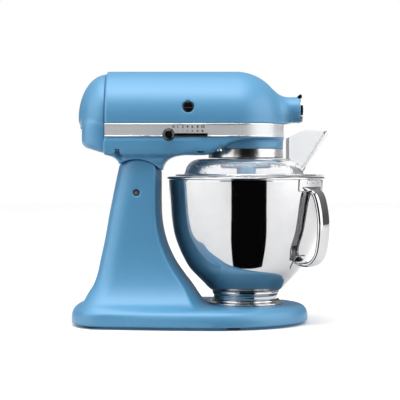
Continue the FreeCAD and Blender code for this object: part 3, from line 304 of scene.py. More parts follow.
def smooth_max(a, b, k):
    return -smooth_min(-a, -b, k)


def surface(field, low, high, step):
    """Closed mesh of field(x, y, z) = 0, inside negative, by surface nets."""
    axes = [np.arange(a - 1.5 * step, b + 2.5 * step, step) for a, b in zip(low, high)]
    grid = np.empty([len(a) for a in axes], np.float32)
    for i, x in enumerate(axes[0]):
        yy, zz = np.meshgrid(axes[1], axes[2], indexing="ij")
        grid[i] = field(np.full_like(yy, x), yy, zz)
    inside = grid < 0
    cells = tuple(n - 1 for n in grid.shape)
    total = np.zeros(cells + (3,), np.float32)
    count = np.zeros(cells, np.float32)

    def corner(arr, o):
        return arr[o[0]:o[0] + cells[0], o[1]:o[1] + cells[1], o[2]:o[2] + cells[2]]

    for axis in range(3):
        others = [a for a in range(3) if a != axis]
        for i in (0, 1):
            for j in (0, 1):
                o = [0, 0, 0]
                o[others[0]], o[others[1]] = i, j
                e = list(o)
                e[axis] = 1
                a, b = corner(grid, o), corner(grid, e)
                cross = corner(inside, o) != corner(inside, e)
                t = np.where(cross, a / np.where(cross, a - b, 1), 0)
                point = np.zeros(cells + (3,), np.float32)
                point[..., others[0]], point[..., others[1]] = i, j
                point[..., axis] = t
                total += point * cross[..., None]
                count += cross
    used = count > 0
    index = np.full(cells, -1, np.int64)
    index[used] = np.arange(int(used.sum()))
    where = np.argwhere(used)
    verts = (where + total[used] / count[used][:, None]) * step
    verts += np.array([a[0] for a in axes])
    faces = []
    for axis in range(3):
        o1, o2 = [a for a in range(3) if a != axis]
        sel = [slice(None)] * 3
        nxt = [slice(None)] * 3
        sel[axis], nxt[axis] = slice(0, -1), slice(1, None)
        cross = inside[tuple(sel)] != inside[tuple(nxt)]
        for c in np.argwhere(cross):
            if c[o1] == 0 or c[o2] == 0 or c[o1] >= cells[o1] or c[o2] >= cells[o2]:
                continue
            quad = []
            for d1, d2 in ((0, 0), (-1, 0), (-1, -1), (0, -1)):
                q = c.copy()
                q[o1] += d1
                q[o2] += d2
                quad.append(int(index[tuple(q)]))
            flip = bool(inside[tuple(c)]) == (axis != 1)
            faces.append(quad[::-1] if flip else quad)
    # three steps towards the true surface
    for _ in range(3):
        x, y, z = verts.T
        f = field(x, y, z)
        e = 0.05
        g = np.stack([field(x + e, y, z) - f, field(x, y + e, z) - f,
                      field(x, y, z + e) - f], axis=1) / e
        n2 = np.maximum((g * g).sum(axis=1), 0.2)
        move = -(f / n2)[:, None] * g
        size = np.linalg.norm(move, axis=1)
        move *= np.minimum(1, 0.5 * step / np.maximum(size, 1e-9))[:, None]
        verts = verts + move
    return verts, faces


def table(points, per=12):
    # dense smooth lookup of columns against the first one
    rows = catmull(points, per)
    return lambda v, column: np.interp(v, rows[:, 0], rows[:, column])


# ---------------------------------------------------------- stand casting
# rows of z, rear x, front x, half width, bulge of the front
COLUMN = table([
    (20.0, -165.0, 14.0, 94.0, 17.0),
    (27.0, -163.0, 8.0, 88.0, 16.0), (34.0, -160.5, 3.5, 81.0, 15.0),
    (43.0, -155.5, -2.5, 74.0, 13.5), (55.0, -148.0, -10.5, 67.5, 12.0),
    (70.0, -142.5, -22.0, 62.0, 11.0), (88.0, -138.5, -34.0, 57.5, 10.0),
    (108.0, -134.0, -43.5, 54.6, 9.5), (128.0, -130.0, -49.5, 53.2, 9.0),
    (148.0, -126.5, -52.6, 52.5, 8.6), (168.0, -122.6, -53.4, 52.2, 8.4),
    (188.0, -118.6, -53.5, 52.0, 8.3), (208.0, -114.4, -53.5, 52.0, 8.2),
    (230.0, -109.4, -53.5, 52.0, 8.0)])

BASE_FRONT = 150.5
BASE_NOSE_X, BASE_HALF = 20.0, 110.5    # centre and half width of the base's round front
BASE_SIDE = [(20, 110.5), (-20, 109.2), (-60, 105.2), (-100, 99.2), (-135, 91.5), (-155, 82.5),
             (-168.5, 67.0), (-175.5, 45.0), (-178.1, 20.0), (-178.5, 0)]
STAND_TOP = 228.0


def base_radius():
    # the base outline as angle, distance from the origin, and a factor that
    # turns a distance along the ray into one across the outline
    half = []
    for k in range(0, 91, 3):
        t = math.radians(k)
        half.append(((BASE_FRONT - BASE_NOSE_X) * math.cos(t) + BASE_NOSE_X,
                     BASE_HALF * math.sin(t)))
    side = catmull(BASE_SIDE, 8)
    ring = np.array(half + [tuple(p) for p in side[1:]])
    angle = np.arctan2(ring[:, 1], ring[:, 0])
    radius = np.hypot(ring[:, 0], ring[:, 1])
    a = np.linspace(0, math.pi, 361)
    r = np.interp(a, angle, radius)
    slope = np.gradient(r, a) / r
    return a, r, 1 / np.sqrt(1 + slope * slope)


RING_ANGLE, RING_RADIUS, RING_LEAN = base_radius()


def stand_field(x, y, z):
    # column: flat sides, bulged front, rounded rear
    rear, front = COLUMN(z, 1), COLUMN(z, 2)
    half, bulge = COLUMN(z, 3), COLUMN(z, 4)
    big = (half ** 2 + bulge ** 2) / (2 * bulge)
    d_front = np.hypot(x - (front - big), y) - big
    d_side = np.abs(y) - half
    column = smooth_max(d_front, d_side, 2.6)
    column = smooth_max(column, rear - x + 0.0009 * y * y, 27.0)
    column = column * 0.85
    pin = np.hypot(x - PIN_X, z - PIN_Z)
    top = np.where(z > 150, np.hypot(x - PIN_X, np.maximum(z - PIN_Z, 0)) - HINGE_R, -50.0)
    column = smooth_max(column, top, 1.6)
    # slot for the head's tongue
    angle = np.degrees(np.arctan2(x - PIN_X, z - PIN_Z))
    fan = np.maximum(angle - 30, -80 - angle) * np.radians(1) * pin
    slot = np.maximum(np.abs(y) - 21.5, np.minimum(pin - 24.5, fan))
    column = np.maximum(column, -slot)
    # base
    a = np.abs(np.arctan2(y, x))
    flat = np.hypot(x, y) - np.interp(a, RING_ANGLE, RING_RADIUS)
    flat = flat * np.interp(a, RING_ANGLE, RING_LEAN)
    base = smooth_max(flat, z - BASE_TOP, 17.0)
    base = smooth_max(base, BASE_LOW - z, 1.5)
    whole = smooth_min(base, column, 7.0)
    whole = smooth_max(whole, BASE_LOW - z, 1.0)
    # underside hollow with ribs
    ribs = np.minimum(np.abs(y) - 2.0, np.abs(np.mod(x + 35.0, 65.0) - 32.5) - 2.0)
    hollow = np.maximum(np.maximum(flat + 10.0, z - 19.0), -np.maximum(ribs, 10.0 - z))
    whole = np.maximum(whole, -hollow)
    # hinge pin bore with a small counterbore
    whole = np.maximum(whole, PIN_R - pin)
    mouth = np.maximum(pin - PIN_R - 0.9, 51.2 - np.abs(y))
    return smooth_max(whole, -mouth, 0.5)


def make_stand():
    low, _ = mm_box("base_casting")
    high = np.array([BASE_FRONT, BASE_HALF + 0.2, STAND_TOP])
    verts, faces = surface(stand_field, (low[0], low[1], 4.0), high, 2.0)
    add_mesh("stand_casting", verts, faces, "stand", PAINT,
             ("base_casting", "pedestal"))


# ------------------------------------------------------------------- head
def bullet(x, y, z, r):
    # straight sides and a rounded top that end in a round nose
    ahead, above = np.maximum(x - NOSE_X, 0), np.maximum(z - HEAD_Z, 0)
    return np.sqrt(ahead ** 2 + y ** 2 + above ** 2) - r


def housing_field(x, y, z):
    outer = bullet(x, y, z, HEAD_R)
    hub = np.hypot(y, z - HUB_Z) - HUB_R
    hub = smooth_max(hub, 90.0 - x, 10.0)
    shape = smooth_min(outer, hub, 15.0)
    shape = smooth_max(shape, x - HUB_FACE, 1.6)
    shape = smooth_max(shape, HEAD_REAR - x, 4.0)
    shape = smooth_max(shape, BAND_HIGH + 0.15 - z, 1.2)
    inner = np.maximum(outer + HOUSING_SKIN, BAND_HIGH - 4 - z)
    shape = np.maximum(shape, -inner)
    bore = np.maximum(np.hypot(y, z - HUB_Z) - HUB_BORE_R, 88.0 - x)
    shape = np.maximum(shape, -bore)
    brush = np.hypot(x - BRUSH_X, z - BRUSH_Z) - 7.7
    shape = smooth_max(shape, -brush, 0.8)
    return shape


def make_housing():
    low, high = mm_box("motor_housing")
    verts, faces = surface(housing_field, (low[0], low[1], BAND_HIGH), high, 1.6)
    add_mesh("head_shell", verts, faces, "head", PAINT, ("motor_housing",))


# rows of x, underside height
SWEEP = table([(-30, 234.4), (8, 234.6), (20, 238.6), (30, 243.8), (41, 250.0), (58, 254.6),
               (84, 256.2), (130, 256.4)])
# rows of z, front x, rear x, half width
NECK = table([(205, -52.8, -109.5, 52.0), (214, -52.4, -109.8, 52.0), (221, -50.0, -110.5, 52.2),
              (229.5, -43.5, -114.5, 53.4), (234.6, -34.0, -121.0, 55.5),
              (238.5, -20.0, -128.0, 58.0), (246.0, -10.0, -129.0, 59.5)])


def gearcase_field(x, y, z):
    plan = np.hypot(np.maximum(x - NOSE_X, 0), y)
    wall = plan - np.where(z > BAND_LOW, HEAD_R - 1.25, HEAD_R)
    floor = SWEEP(x, 1)
    shell = smooth_max(wall, floor - z, np.where(x < 30, 9.0, 4.0))
    shell = smooth_max(shell, HEAD_REAR + 0.3 - x, 1.5)
    from_bowl = np.hypot(x - BOWL_X, y)
    collar = smooth_max(from_bowl - COLLAR_R, 242.7 - z, 1.5)
    body = smooth_min(shell, collar, 5.0)
    neck = smooth_max(np.abs(y) - NECK(z, 3), x - NECK(z, 1), 7.0)
    neck = smooth_max(neck, NECK(z, 2) - x, 7.0)
    neck = np.maximum(neck, z - 246.0) * 0.8
    body = smooth_min(body, neck, 12.0)
    body = np.maximum(body, z - BAND_HIGH + 0.3)
    # round seat over the column, and the tongue that hangs on the hinge pin
    pin = np.hypot(x - PIN_X, z - PIN_Z)
    body = smooth_max(body, HINGE_R + HINGE_GAP - pin, 0.8)
    angle = np.abs(np.degrees(np.arctan2(x - PIN_X, z - PIN_Z)))
    fan = np.maximum(angle - 22, 0.0) * np.radians(1) * pin + np.where(angle < 22, -1, 0)
    fan = np.maximum(fan, pin - 52.0)
    tongue = np.maximum(np.abs(y) - 20.5, np.minimum(pin - 22.0, fan))
    body = np.minimum(body, tongue)
    body = np.maximum(body, PIN_R + 0.05 - pin)
    # hollow inside
    inside = np.maximum(plan - HEAD_R + GEARCASE_SKIN, 246.0 - z)
    inside = np.maximum(inside, HEAD_REAR + 4.0 - x)
    front = np.maximum(4.0 - x, z - 259.5)
    inside = np.maximum(inside, -front)
    pocket = np.maximum(np.maximum(from_bowl - 48.0, 247.5 - z), z - 262.0)
    seat = np.maximum(from_bowl - 42.0, z - 243.0)
    shaft = np.maximum(from_bowl - 9.0, z - 262.0)
    for gap in (inside, pocket, seat, shaft):
        body = np.maximum(body, -gap)
    slot = np.maximum(np.abs(x - SLOT_X) - SLOT_HALF_X, np.abs(z - LEVER_Z) - SLOT_HALF_Z)
    slot = np.maximum(slot, y + 55.0)
    body = np.maximum(body, -slot)
    for sx, sy in ((-108, -57.5), (-108, 57.5), (26, -57.5), (26, 57.5)):   # screw wells
        well = np.maximum(np.hypot(x - sx, y - sy) - 4.6, z - 242.0)
        body = smooth_max(body, -well, 0.8)
    # two side pockets by the neck and a narrow slot on the underside
    pocket = np.maximum(np.hypot(x - POCKET_X, np.abs(y) - POCKET_Y) - 3.8, z - 242.6)
    body = smooth_max(body, -pocket, 0.8)
    slit = np.maximum(np.abs(x - 0.5) - 4.6, np.abs(z - 238.0) - 0.9)
    return np.maximum(body, -np.maximum(slit, 50.0 - np.abs(y)))


def make_pocket_screws_and_shade():
    # dark screw heads in the side pockets: partly real screws, partly painted shade that darkens the pockets
    head = [(0, 239.0), (1.2, 239.0), (1.4, 240.2), (2.6, 240.2), (3.2, 239.4), (3.5, 240.0),
            (3.5, 242.5), (0, 242.5)]
    for side, name in ((-1, "case_screw_shade_near"), (1, "case_screw_shade_far")):
        verts, faces = lathe(head, (POCKET_X, side * POCKET_Y, 0), 24)
        add_mesh(name, verts, faces, "head", IRON)


def make_gearcase():
    low, high = mm_box("gearcase_cover")
    verts, faces = surface(gearcase_field, low, (high[0], high[1], BAND_HIGH), 1.6)
    add_mesh("lower_gearcase", verts, faces, "head", PAINT,
             ("gearcase_cover",))


def cover_field(x, y, z, shrink=0.0):
    # a dome above a box with a rounded rear
    t = HEAD_REAR - x
    depth = HEAD_REAR - COVER_REAR - shrink
    r = HEAD_R - 4.0 - shrink
    up = np.maximum(z - HEAD_Z, 0) / r
    down = np.maximum(HEAD_Z - z, 0) / (28.0 - shrink)
    scale = np.sqrt((np.maximum(t, 0) / depth) ** 2 + (y / r) ** 2 + up ** 2 + down ** 2)
    dome = (scale - 1) * np.minimum(r, depth) * np.clip(0.6 + 0.6 * np.abs(y) / r, 0.6, 1.2)
    low = 236.0 + 9.5 * np.clip(t / 33.0, 0, 1.3) + shrink
    boxy = smooth_max(np.abs(y) - r + 0.3, t - 32.9 + shrink, 30.0)
    boxy = smooth_max(boxy, low - z, 9.0)
    boxy = smooth_max(boxy, z - HEAD_Z - 6.0, 20.0)
    return smooth_min(dome, boxy, 1.2)


def make_cover():
    def field(x, y, z):
        shape = cover_field(x, y, z)
        shape = smooth_max(shape, x - HEAD_REAR + 0.05, 0.7)
        shape = np.maximum(shape, -cover_field(x, y, z, COVER_SKIN))
        for k in range(5):
            for side in (-1, 1):
                yc = side * (12 + 5.2 * k)
                vent = np.maximum(np.abs(y - yc) - 1.2, np.abs(z - 259) - 9)
                vent = np.maximum(vent, x + 150)
                shape = np.maximum(shape, -vent)
        return shape

    verts, faces = surface(field, (COVER_REAR, -HEAD_R, 232.0), (HEAD_REAR, HEAD_R, HEAD_TOP), 1.5)
    add_mesh("rear_cover", verts, faces, "head", PAINT, ("end_cover",))


make_stand()
make_housing()
make_gearcase()
make_pocket_screws_and_shade()
make_cover()


# ------------------------------------------------------------------- bowl
BOWL_LINE = [(44.2, 44.0), (52.0, 48.6), (60.0, 56.6), (69.5, 66.2), (79.5, 77.5),
             (88.2, 92.5), (95.0, 107.5), (100.6, 124.5), (104.0, 146.0),
             (105.6, 168.5), (106.8, 190.0), (107.4, 200.6)]


BOWL_SKIN, RIM_R, RIM_ROLL = 1.2, 107.9, 1.9


def make_bowl():
    line = catmull(BOWL_LINE, 8)
    inner = offset_line(line, BOWL_SKIN)
    rim = []
    for k in range(15):
        a = math.radians(-130 + 20 * k)
        rim.append((RIM_R + RIM_ROLL * math.cos(a), RIM_Z - RIM_ROLL + RIM_ROLL * math.sin(a)))
    foot_r = BOWL_LINE[0][0]
    floor = [(foot_r * k / 6.0, inner[0][1]) for k in range(5, -1, -1)]
    under = [(foot_r * k / 6.0, line[0][1]) for k in range(0, 6)]
    inner_line = [tuple(p) for p in inner[::-1][1:]]
    profile = [tuple(p) for p in line[:-1]] + rim + inner_line + floor + under
    verts, faces = lathe(profile, (BOWL_X, 0, 0), 160)
    add_mesh("bowl_body", verts, faces, "bowl", STEEL, ("bowl_shell",))


def round_profile(points, radius, steps=4):
    # rounds every corner of a closed (radius, height) outline
    pts = np.asarray(points, float)
    out = []
    n = len(pts)
    for i in range(n):
        p, a, b = pts[i], pts[i - 1], pts[(i + 1) % n]
        if p[0] < 1e-6:
            out.append(tuple(p))
            continue
        u, v = a - p, b - p
        lu, lv = np.linalg.norm(u), np.linalg.norm(v)
        r = min(radius, 0.45 * lu, 0.45 * lv)
        p0, p1 = p + u / lu * r, p + v / lv * r
        for k in range(steps + 1):
            t = k / steps
            out.append(tuple((1 - t) ** 2 * p0 + 2 * t * (1 - t) * p + t * t * p1))
    return out


def make_foot():
    low = mm_box("bowl_foot_ring")[0][2]
    ring = [(42.0, low), (44.6, low), (44.8, 38.6), (45.2, 40.2), (46.2, 41.2), (47.0, 42.6),
            (47.1, 44.2), (46.4, 45.4), (45.2, 45.2), (44.2, 43.9), (42.0, 43.9)]
    verts, faces = lathe(round_profile(ring, 0.5, 2), (BOWL_X, 0, 0), 128)
    add_mesh("bowl_foot", verts, faces, "bowl", STEEL, ("bowl_foot_ring",))


def make_clamp():
    low = mm_box("bowl_clamp_plate")[0][2]
    plate = [(12, 0), (53.0, 0), (53.0, 2.0), (51.9, 3.2), (49.6, 3.7), (48.0, 4.4), (47.4, 6.2),
             (45.9, 6.2), (45.9, 2.5), (12, 2.5)]
    plate = [(r, low + h) for r, h in plate]
    verts, faces = lathe(round_profile(plate, 0.5, 3), (BOWL_X, 0, 0), 128)
    add_mesh("clamp_plate_disc", verts, faces, "stand", STEEL, ("bowl_clamp_plate",))


def make_drip_ring():
    low, high = mm_box("drip_ring")
    r = high[1]
    ring = [(r - 4.0, low[2] + 0.6), (r - 1.5, low[2]), (r - 0.5, low[2] + 0.2),
            (r, low[2] + 1.0), (r, high[2]), (r - 4.0, high[2])]
    verts, faces = lathe(round_profile(ring, 0.4, 3), (BOWL_X, 0, 0), 128)
    add_mesh("drip_ring_band", verts, faces, "head", BRUSHED, ("drip_ring",))


make_bowl()
make_foot()
make_clamp()
make_drip_ring()


# ----------------------------------------------------------------- shield
SHIELD_LINE = [(55.5, 227.9), (61.0, 227.9), (66.5, 227.5), (72.0, 226.0), (76.6, 223.4),
               (80.0, 219.9), (82.3, 215.5), (83.8, 210.6), (84.9, 207.6), (87.0, 206.4),
               (91.0, 206.2), (97.4, 206.1)]
SHIELD_HALF = 0.95                              # half the wall
GRID_STEP, GRID_R, GRID_Z = 0.25, 50.0, 202.0   # distance table of the shield's line


def make_shield():
    line = catmull(SHIELD_LINE, 4)
    rs, zs = np.arange(GRID_R, 116.0, GRID_STEP), np.arange(GRID_Z, 233.0, GRID_STEP)
    grid_r, grid_z = np.meshgrid(rs, zs, indexing="ij")
    near = np.full(grid_r.shape, 1e9)
    for p, q in zip(line[:-1], line[1:]):
        d = q - p
        t = np.clip(((grid_r - p[0]) * d[0] + (grid_z - p[1]) * d[1]) / (d @ d), 0, 1)
        near = np.minimum(near, np.hypot(grid_r - p[0] - t * d[0], grid_z - p[1] - t * d[1]))

    def lookup(r, z):
        u = np.clip((r - GRID_R) / GRID_STEP, 0, len(rs) - 1.001)
        v = np.clip((z - GRID_Z) / GRID_STEP, 0, len(zs) - 1.001)
        i, j = u.astype(int), v.astype(int)
        u, v = u - i, v - j
        return ((near[i, j] * (1 - u) + near[i + 1, j] * u) * (1 - v)
                + (near[i, j + 1] * (1 - u) + near[i + 1, j + 1] * u) * v)

    def field(x, y, z):
        x = x - BOWL_X
        r = np.hypot(x, y)
        skin = lookup(r, z) - SHIELD_HALF
        tabs = np.minimum(np.abs(y) - 9.0 + np.where(x > 0, 0, 99), np.abs(x) - 9.0)
        tabs = smooth_max(np.maximum(tabs, 88.0 - r), np.abs(z - 206.0) - SHIELD_HALF, 0.4)
        tabs = smooth_max(tabs, r - 110.2, 0.8)
        shape = smooth_min(skin, tabs, 0.5)
        window = np.maximum(np.abs(x - 73.5) - 12.5, np.abs(y) - 33.0)
        return smooth_max(shape, -window, 0.4)

    low, high = mm_box("shield_ring")
    verts, faces = surface(field, low, high, 1.15)
    dome = add_mesh("pouring_shield_dome", verts, faces, "pouring_shield", CLEAR,
                    ("shield_ring",))
    dome.visible_shadow = False


make_shield()


# ----------------------------------------------------------------- handle
HANDLE_LINE = [(107.9, 190.5), (111.5, 187.5), (117.5, 183.0), (121.5, 175.5), (124.6, 164.0),
               (126.6, 152.0), (127.6, 138.0), (126.6, 120.0), (124.2, 104.0),
               (120.0, 93.5), (113.0, 86.0), (104.0, 83.0), (95.5, 83.8), (88.4, 86.8)]
HANDLE_TURN = math.radians(-35)
STRAP_HALF_SKIN = 0.65
# across the strap: width, height, with the edges turned in
STRAP = [(-9.2, -4.4), (-10.8, -4.9), (-12.2, -4.0), (-12.5, -2.0), (-11.4, -0.3), (-9.0, 0.6),
         (-4.8, 1.0), (0.0, 1.1), (4.8, 1.0), (9.0, 0.6), (11.4, -0.3), (12.5, -2.0),
         (12.2, -4.0), (10.8, -4.9), (9.2, -4.4)]


def ease(v):
    v = np.clip(v, 0, 1)
    return v * v * (3 - 2 * v)


def make_handle():
    path = catmull(HANDLE_LINE, 7)
    tangent = np.gradient(path, axis=0)
    tangent /= np.linalg.norm(tangent, axis=1)[:, None]
    line = catmull(STRAP, 3)
    loop = np.vstack([offset_line(line, STRAP_HALF_SKIN),
                      offset_line(line, -STRAP_HALF_SKIN)[::-1]])
    share = np.linspace(0, 1, len(path))
    out_dir = np.array([math.cos(HANDLE_TURN), math.sin(HANDLE_TURN)])
    side_dir = np.array([-math.sin(HANDLE_TURN), math.cos(HANDLE_TURN)])
    verts, faces = [], []
    n = len(loop)
    for k, (r, z) in enumerate(path):
        normal = (-tangent[k][1], tangent[k][0])
        wide = 1 + 0.7 * (1 - ease(share[k] / 0.13)) + 0.35 * ease((share[k] - 0.86) / 0.14)
        deep = 0.25 + 0.75 * ease(share[k] / 0.16) * ease((1 - share[k]) / 0.16)
        for w, h in loop:
            radial = r + h * deep * normal[0]
            flat = radial * out_dir + w * wide * side_dir
            verts.append((BOWL_X + flat[0], flat[1], z + h * deep * normal[1]))
    for k in range(len(path) - 1):
        for i in range(n):
            j = (i + 1) % n
            faces.append((k * n + i, k * n + j, (k + 1) * n + j, (k + 1) * n + i))
    faces.append(tuple(range(n))[::-1])
    faces.append(tuple((len(path) - 1) * n + i for i in range(n)))
    add_mesh("handle_strap", verts, faces, "bowl", STEEL, ("bowl_handle",))


BOWL_WALL_R = table([(p[1], p[0]) for p in BOWL_LINE])


def plate_on_bowl(name, half, low, high, welds):
    """Rounded plate on the bowl wall, with spot welds at (degrees, height)."""
    corner = 3.0

    def field(x, y, z):
        r = np.hypot(x - BOWL_X, y)
        a = np.arctan2(y, x - BOWL_X) - HANDLE_TURN
        wall = BOWL_WALL_R(z, 1)
        off = np.abs(r - wall - 0.75) - 0.85
        mid, tall = 0.5 * (low + high), 0.5 * (high - low)
        u, v = np.abs(a) * r - half + corner, np.abs(z - mid) - tall + corner
        edge = np.hypot(np.maximum(u, 0), np.maximum(v, 0)) + np.minimum(np.maximum(u, v), 0)
        edge = edge - corner
        shape = smooth_max(off, edge, 0.7)
        for spot_a, spot_z in welds:
            spot = np.hypot((a - math.radians(spot_a)) * r, z - spot_z)
            spot = np.hypot(spot, r - wall - 2.4)
            shape = smooth_max(shape, 1.5 - spot, 0.4)
        return shape

    corners = []
    for a in (-half / 85.0, 0.0, half / 85.0):
        for r in (80.0 if low < 120 else 104.0, 112.0):
            turn = HANDLE_TURN + a
            corners.append((BOWL_X + r * math.cos(turn), r * math.sin(turn)))
    corners = np.array(corners)
    near, far = corners.min(axis=0), corners.max(axis=0)
    verts, faces = surface(field, (*near, low - 1), (*far, high + 1), 0.75)
    add_mesh(name, verts, faces, "bowl", STEEL)


make_handle()
plate_on_bowl("handle_bracket", 29.0, 184.4, 201.0, ((-6.5, 197.5), (0.8, 197.5), (8.1, 197.5)))
plate_on_bowl("handle_tab", 13.5, 78.5, 96.5, ((-5.0, 88.0), (5.0, 88.0)))


# ------------------------------------------------------- band and controls
def band_path(near_side, round_nose):
    # plan line as x, y and turn: points at these x on the near side, then, if
    # round_nose, around the nose and back to the far rear
    r = HEAD_R + BAND_GAP
    line = [(x, -r, -90) for x in near_side]
    if round_nose:
        for a in range(0, 181, 4):
            t = math.radians(a)
            line.append((NOSE_X + r * math.sin(t), -r * math.cos(t), a - 90))
        line.append((BAND_REAR, r, 90))
    return line


def band_wire(name, height, line):
    n = WIRE_SIDES
    verts, faces = [], []
    for x, y, turn in line:
        a = math.radians(turn)
        for i in range(n):
            t = 2 * math.pi * i / n
            out = WIRE_OUT * math.cos(t)
            verts.append((x + out * math.cos(a), y + out * math.sin(a),
                          height + WIRE_UP * math.sin(t)))
    for k in range(len(line) - 1):
        for i in range(n):
            j = (i + 1) % n
            faces.append((k * n + i, (k + 1) * n + i, (k + 1) * n + j, k * n + j))
    faces.append(tuple(range(n)))
    faces.append(tuple((len(line) - 1) * n + i for i in range(n))[::-1])
    add_mesh(name, verts, faces, "head", CHROME)


def make_slot_seal_and_shade():
    # black lining around the lever slot: partly a seal, partly painted shade that makes the slot read as a dark
    # opening
    def field(x, y, z):
        along, up = np.abs(x - SLOT_X), np.abs(z - LEVER_Z)
        hole = np.maximum(along - SLOT_HALF_X + 0.8, up - SLOT_HALF_Z + 0.65)
        rim = np.maximum(along - SLOT_HALF_X - 0.4, up - SLOT_HALF_Z - 0.35)
        depth = np.abs(y + 63.2) - 4.1
        return np.maximum(smooth_max(rim, depth, 0.4), -hole)

    verts, faces = surface(field, (-42, -67.6, LEVER_Z - 3), (11, -59, LEVER_Z + 3), 0.5)
    add_mesh("lever_slot_seal_and_shade", verts, faces, "head", MATTE)


def make_dial():
    y = -HEAD_R - 0.66
    verts, faces = [], []
    # digit, x, radius of the dot below it
    marks = (("0", -35.8, 0), ("1", -30.1, 0.40), ("2", -23.1, 0.55), ("4", -16.9, 0.75),
             ("6", -10.3, 0.95), ("8", -3.2, 1.15), ("10", 3.4, 1.40))
    n = DOT_SIDES
    for label, x, dot in marks:
        curve = bpy.data.curves.new("digit", "FONT")
        curve.body = label
        curve.size = DIAL_DIGIT_SIZE
        curve.align_x = "CENTER"
        curve.extrude = 0.08
        curve.offset = 0.12
        holder = bpy.data.objects.new("digit", curve)
        bpy.context.scene.collection.objects.link(holder)
        bpy.context.view_layer.update()
        graph = bpy.context.evaluated_depsgraph_get()
        mesh = bpy.data.meshes.new_from_object(holder.evaluated_get(graph))
        start = len(verts)
        verts += [(x + v.co.x, y - v.co.z, DIAL_DIGITS_Z + v.co.y) for v in mesh.vertices]
        faces += [tuple(start + i for i in f.vertices) for f in mesh.polygons]
        bpy.data.objects.remove(holder)
        bpy.data.meshes.remove(mesh)
        bpy.data.curves.remove(curve)
        if dot:
            start = len(verts)
            turns = [2 * math.pi * k / n for k in range(n)]
            for depth in (-0.08, 0.1):
                verts += [(x + dot * math.cos(t), y + depth, DIAL_DOTS_Z + dot * math.sin(t))
                          for t in turns]
            near = [start + k for k in range(n)]
            far = [start + n + k for k in range(n)]
            faces += [tuple(near[::-1]), tuple(far)]
            faces += [(near[k - 1], near[k], far[k], far[k - 1]) for k in range(n)]
    add_mesh("dial_marks", verts, faces, "head", INK, smooth=False)


def make_knob():
    low, high = mm_box("speed_knob")
    mid = 0.5 * (low + high)
    line = catmull([(0, -7.0), (3.0, -7.2), (5.4, -6.9), (7.2, -5.3), (8.3, -2.9), (8.7, 0),
                    (8.2, 2.9), (6.6, 5.2), (4.6, 6.2), (4.1, 7.4)], 4)
    profile = [(max(r, 0), h) for r, h in line] + [(0, 7.4)]
    verts, faces = lathe(profile, (mid[0], low[1] + 8.0, mid[2]), 48, "y")
    add_mesh("speed_knob_grip", verts, faces, "speed_control", GLOSS,
             ("speed_knob",))


def make_brush_caps():
    low, high = mm_box("brush_caps")

    def field(x, y, z):
        r = np.hypot(x - BRUSH_X, z - BRUSH_Z)
        cap = smooth_max(r - 7.5, high[1] - 4.0 - np.abs(y), 0.8)
        cap = smooth_max(cap, np.abs(y) - high[1] + 0.1, 0.9)
        slot = np.maximum(np.abs(z - BRUSH_Z) - 0.9, np.abs(x - BRUSH_X) - 6.2)
        slot = np.maximum(slot, high[1] - 1.6 - np.abs(y))
        ring = np.maximum(np.abs(r - 6.6) - 0.25, high[1] - 0.5 - np.abs(y))
        return np.maximum(np.maximum(cap, -slot), -ring)

    verts, faces = [], []
    for y0, y1 in ((low[1] - 0.5, low[1] + 5), (high[1] - 5, high[1] + 0.5)):
        v, f = surface(field, (BRUSH_X - 8, y0, BRUSH_Z - 8), (BRUSH_X + 8, y1, BRUSH_Z + 8), 0.45)
        start = len(verts)
        verts += [tuple(p) for p in v]
        faces += [tuple(start + i for i in q) for q in f]
    add_mesh("brush_cap_pair", verts, faces, "head", GLOSS, ("brush_caps",))


def make_pin():
    pin = [(0, -50.4), (1.8, -50.2), (2.9, -49.6), (3.3, -48.6),
           (3.3, 48.6), (2.9, 49.6), (1.8, 50.2), (0, 50.4)]
    verts, faces = lathe(pin, (PIN_X, 0, PIN_Z), 40, "y")
    add_mesh("hinge_pin_core", verts, faces, "stand", IRON, ("hinge_pin",))
    # the matte black ring around the dark metal pin end is painted shade for the gap between pin and bore
    ring = [(3.3, -49.8), (4.55, -49.8), (4.55, 49.8), (3.3, 49.8)]
    verts, faces = lathe(ring, (PIN_X, 0, PIN_Z), 40, "y")
    add_mesh("hinge_pin_gap_shade", verts, faces, "stand", MATTE)


SLOT_REAR, SLOT_FRONT = -41.5, 10.5     # the lower wire leaves the slot free
band_wire("band_edge_upper", BAND_HIGH - 0.9, band_path((BAND_REAR,), True))
band_wire("band_edge_lower_rear", BAND_LOW + 1.0, band_path((BAND_REAR, SLOT_REAR), False))
band_wire("band_edge_lower", BAND_LOW + 1.0, band_path((SLOT_FRONT,), True))
make_slot_seal_and_shade()
make_dial()
make_knob()
make_brush_caps()
make_pin()


# ------------------------------------------------------------ stage, camera
# Metres from here on.
FLOOR_HALF = 6.0
CARD_Y, CARD_Z = (-0.112, -3.1), (0.004, 3.2)           # near and far edge, low and high edge
CARD_NEAR_X, CARD_FAR_X = (0.018, 0.116), (-1.22, 1.75)
CARD_BLACK = (0.002, 0.002, 0.002)


def stage_piece(name, verts, faces, mat_name, scale, colours, roughness):
    mesh = bpy.data.meshes.new(name)
    mesh.from_pydata(verts, [], faces)
    piece = bpy.data.objects.new(name, mesh)
    bpy.context.scene.collection.objects.link(piece)
    mat, nodes, links, shader = material(mat_name)
    tex = noise(nodes, links, scale)
    colour = ramp(nodes, links, tex.outputs["Fac"], 0.3, 0.7, colours)
    links.new(colour, shader.inputs["Base Color"])
    shader.inputs["Roughness"].default_value = roughness
    mesh.materials.append(mat)
    return piece, shader


def make_floor():
    h = FLOOR_HALF
    corners = [(-h, -h, 0), (h, -h, 0), (h, h, 0), (-h, h, 0)]
    floor, _ = stage_piece("floor", corners, [(0, 1, 2, 3)], "pale_floor", 3.0,
                           ((0.93, 0.93, 0.93), (0.95, 0.95, 0.95)), 0.9)
    floor.visible_diffuse = False


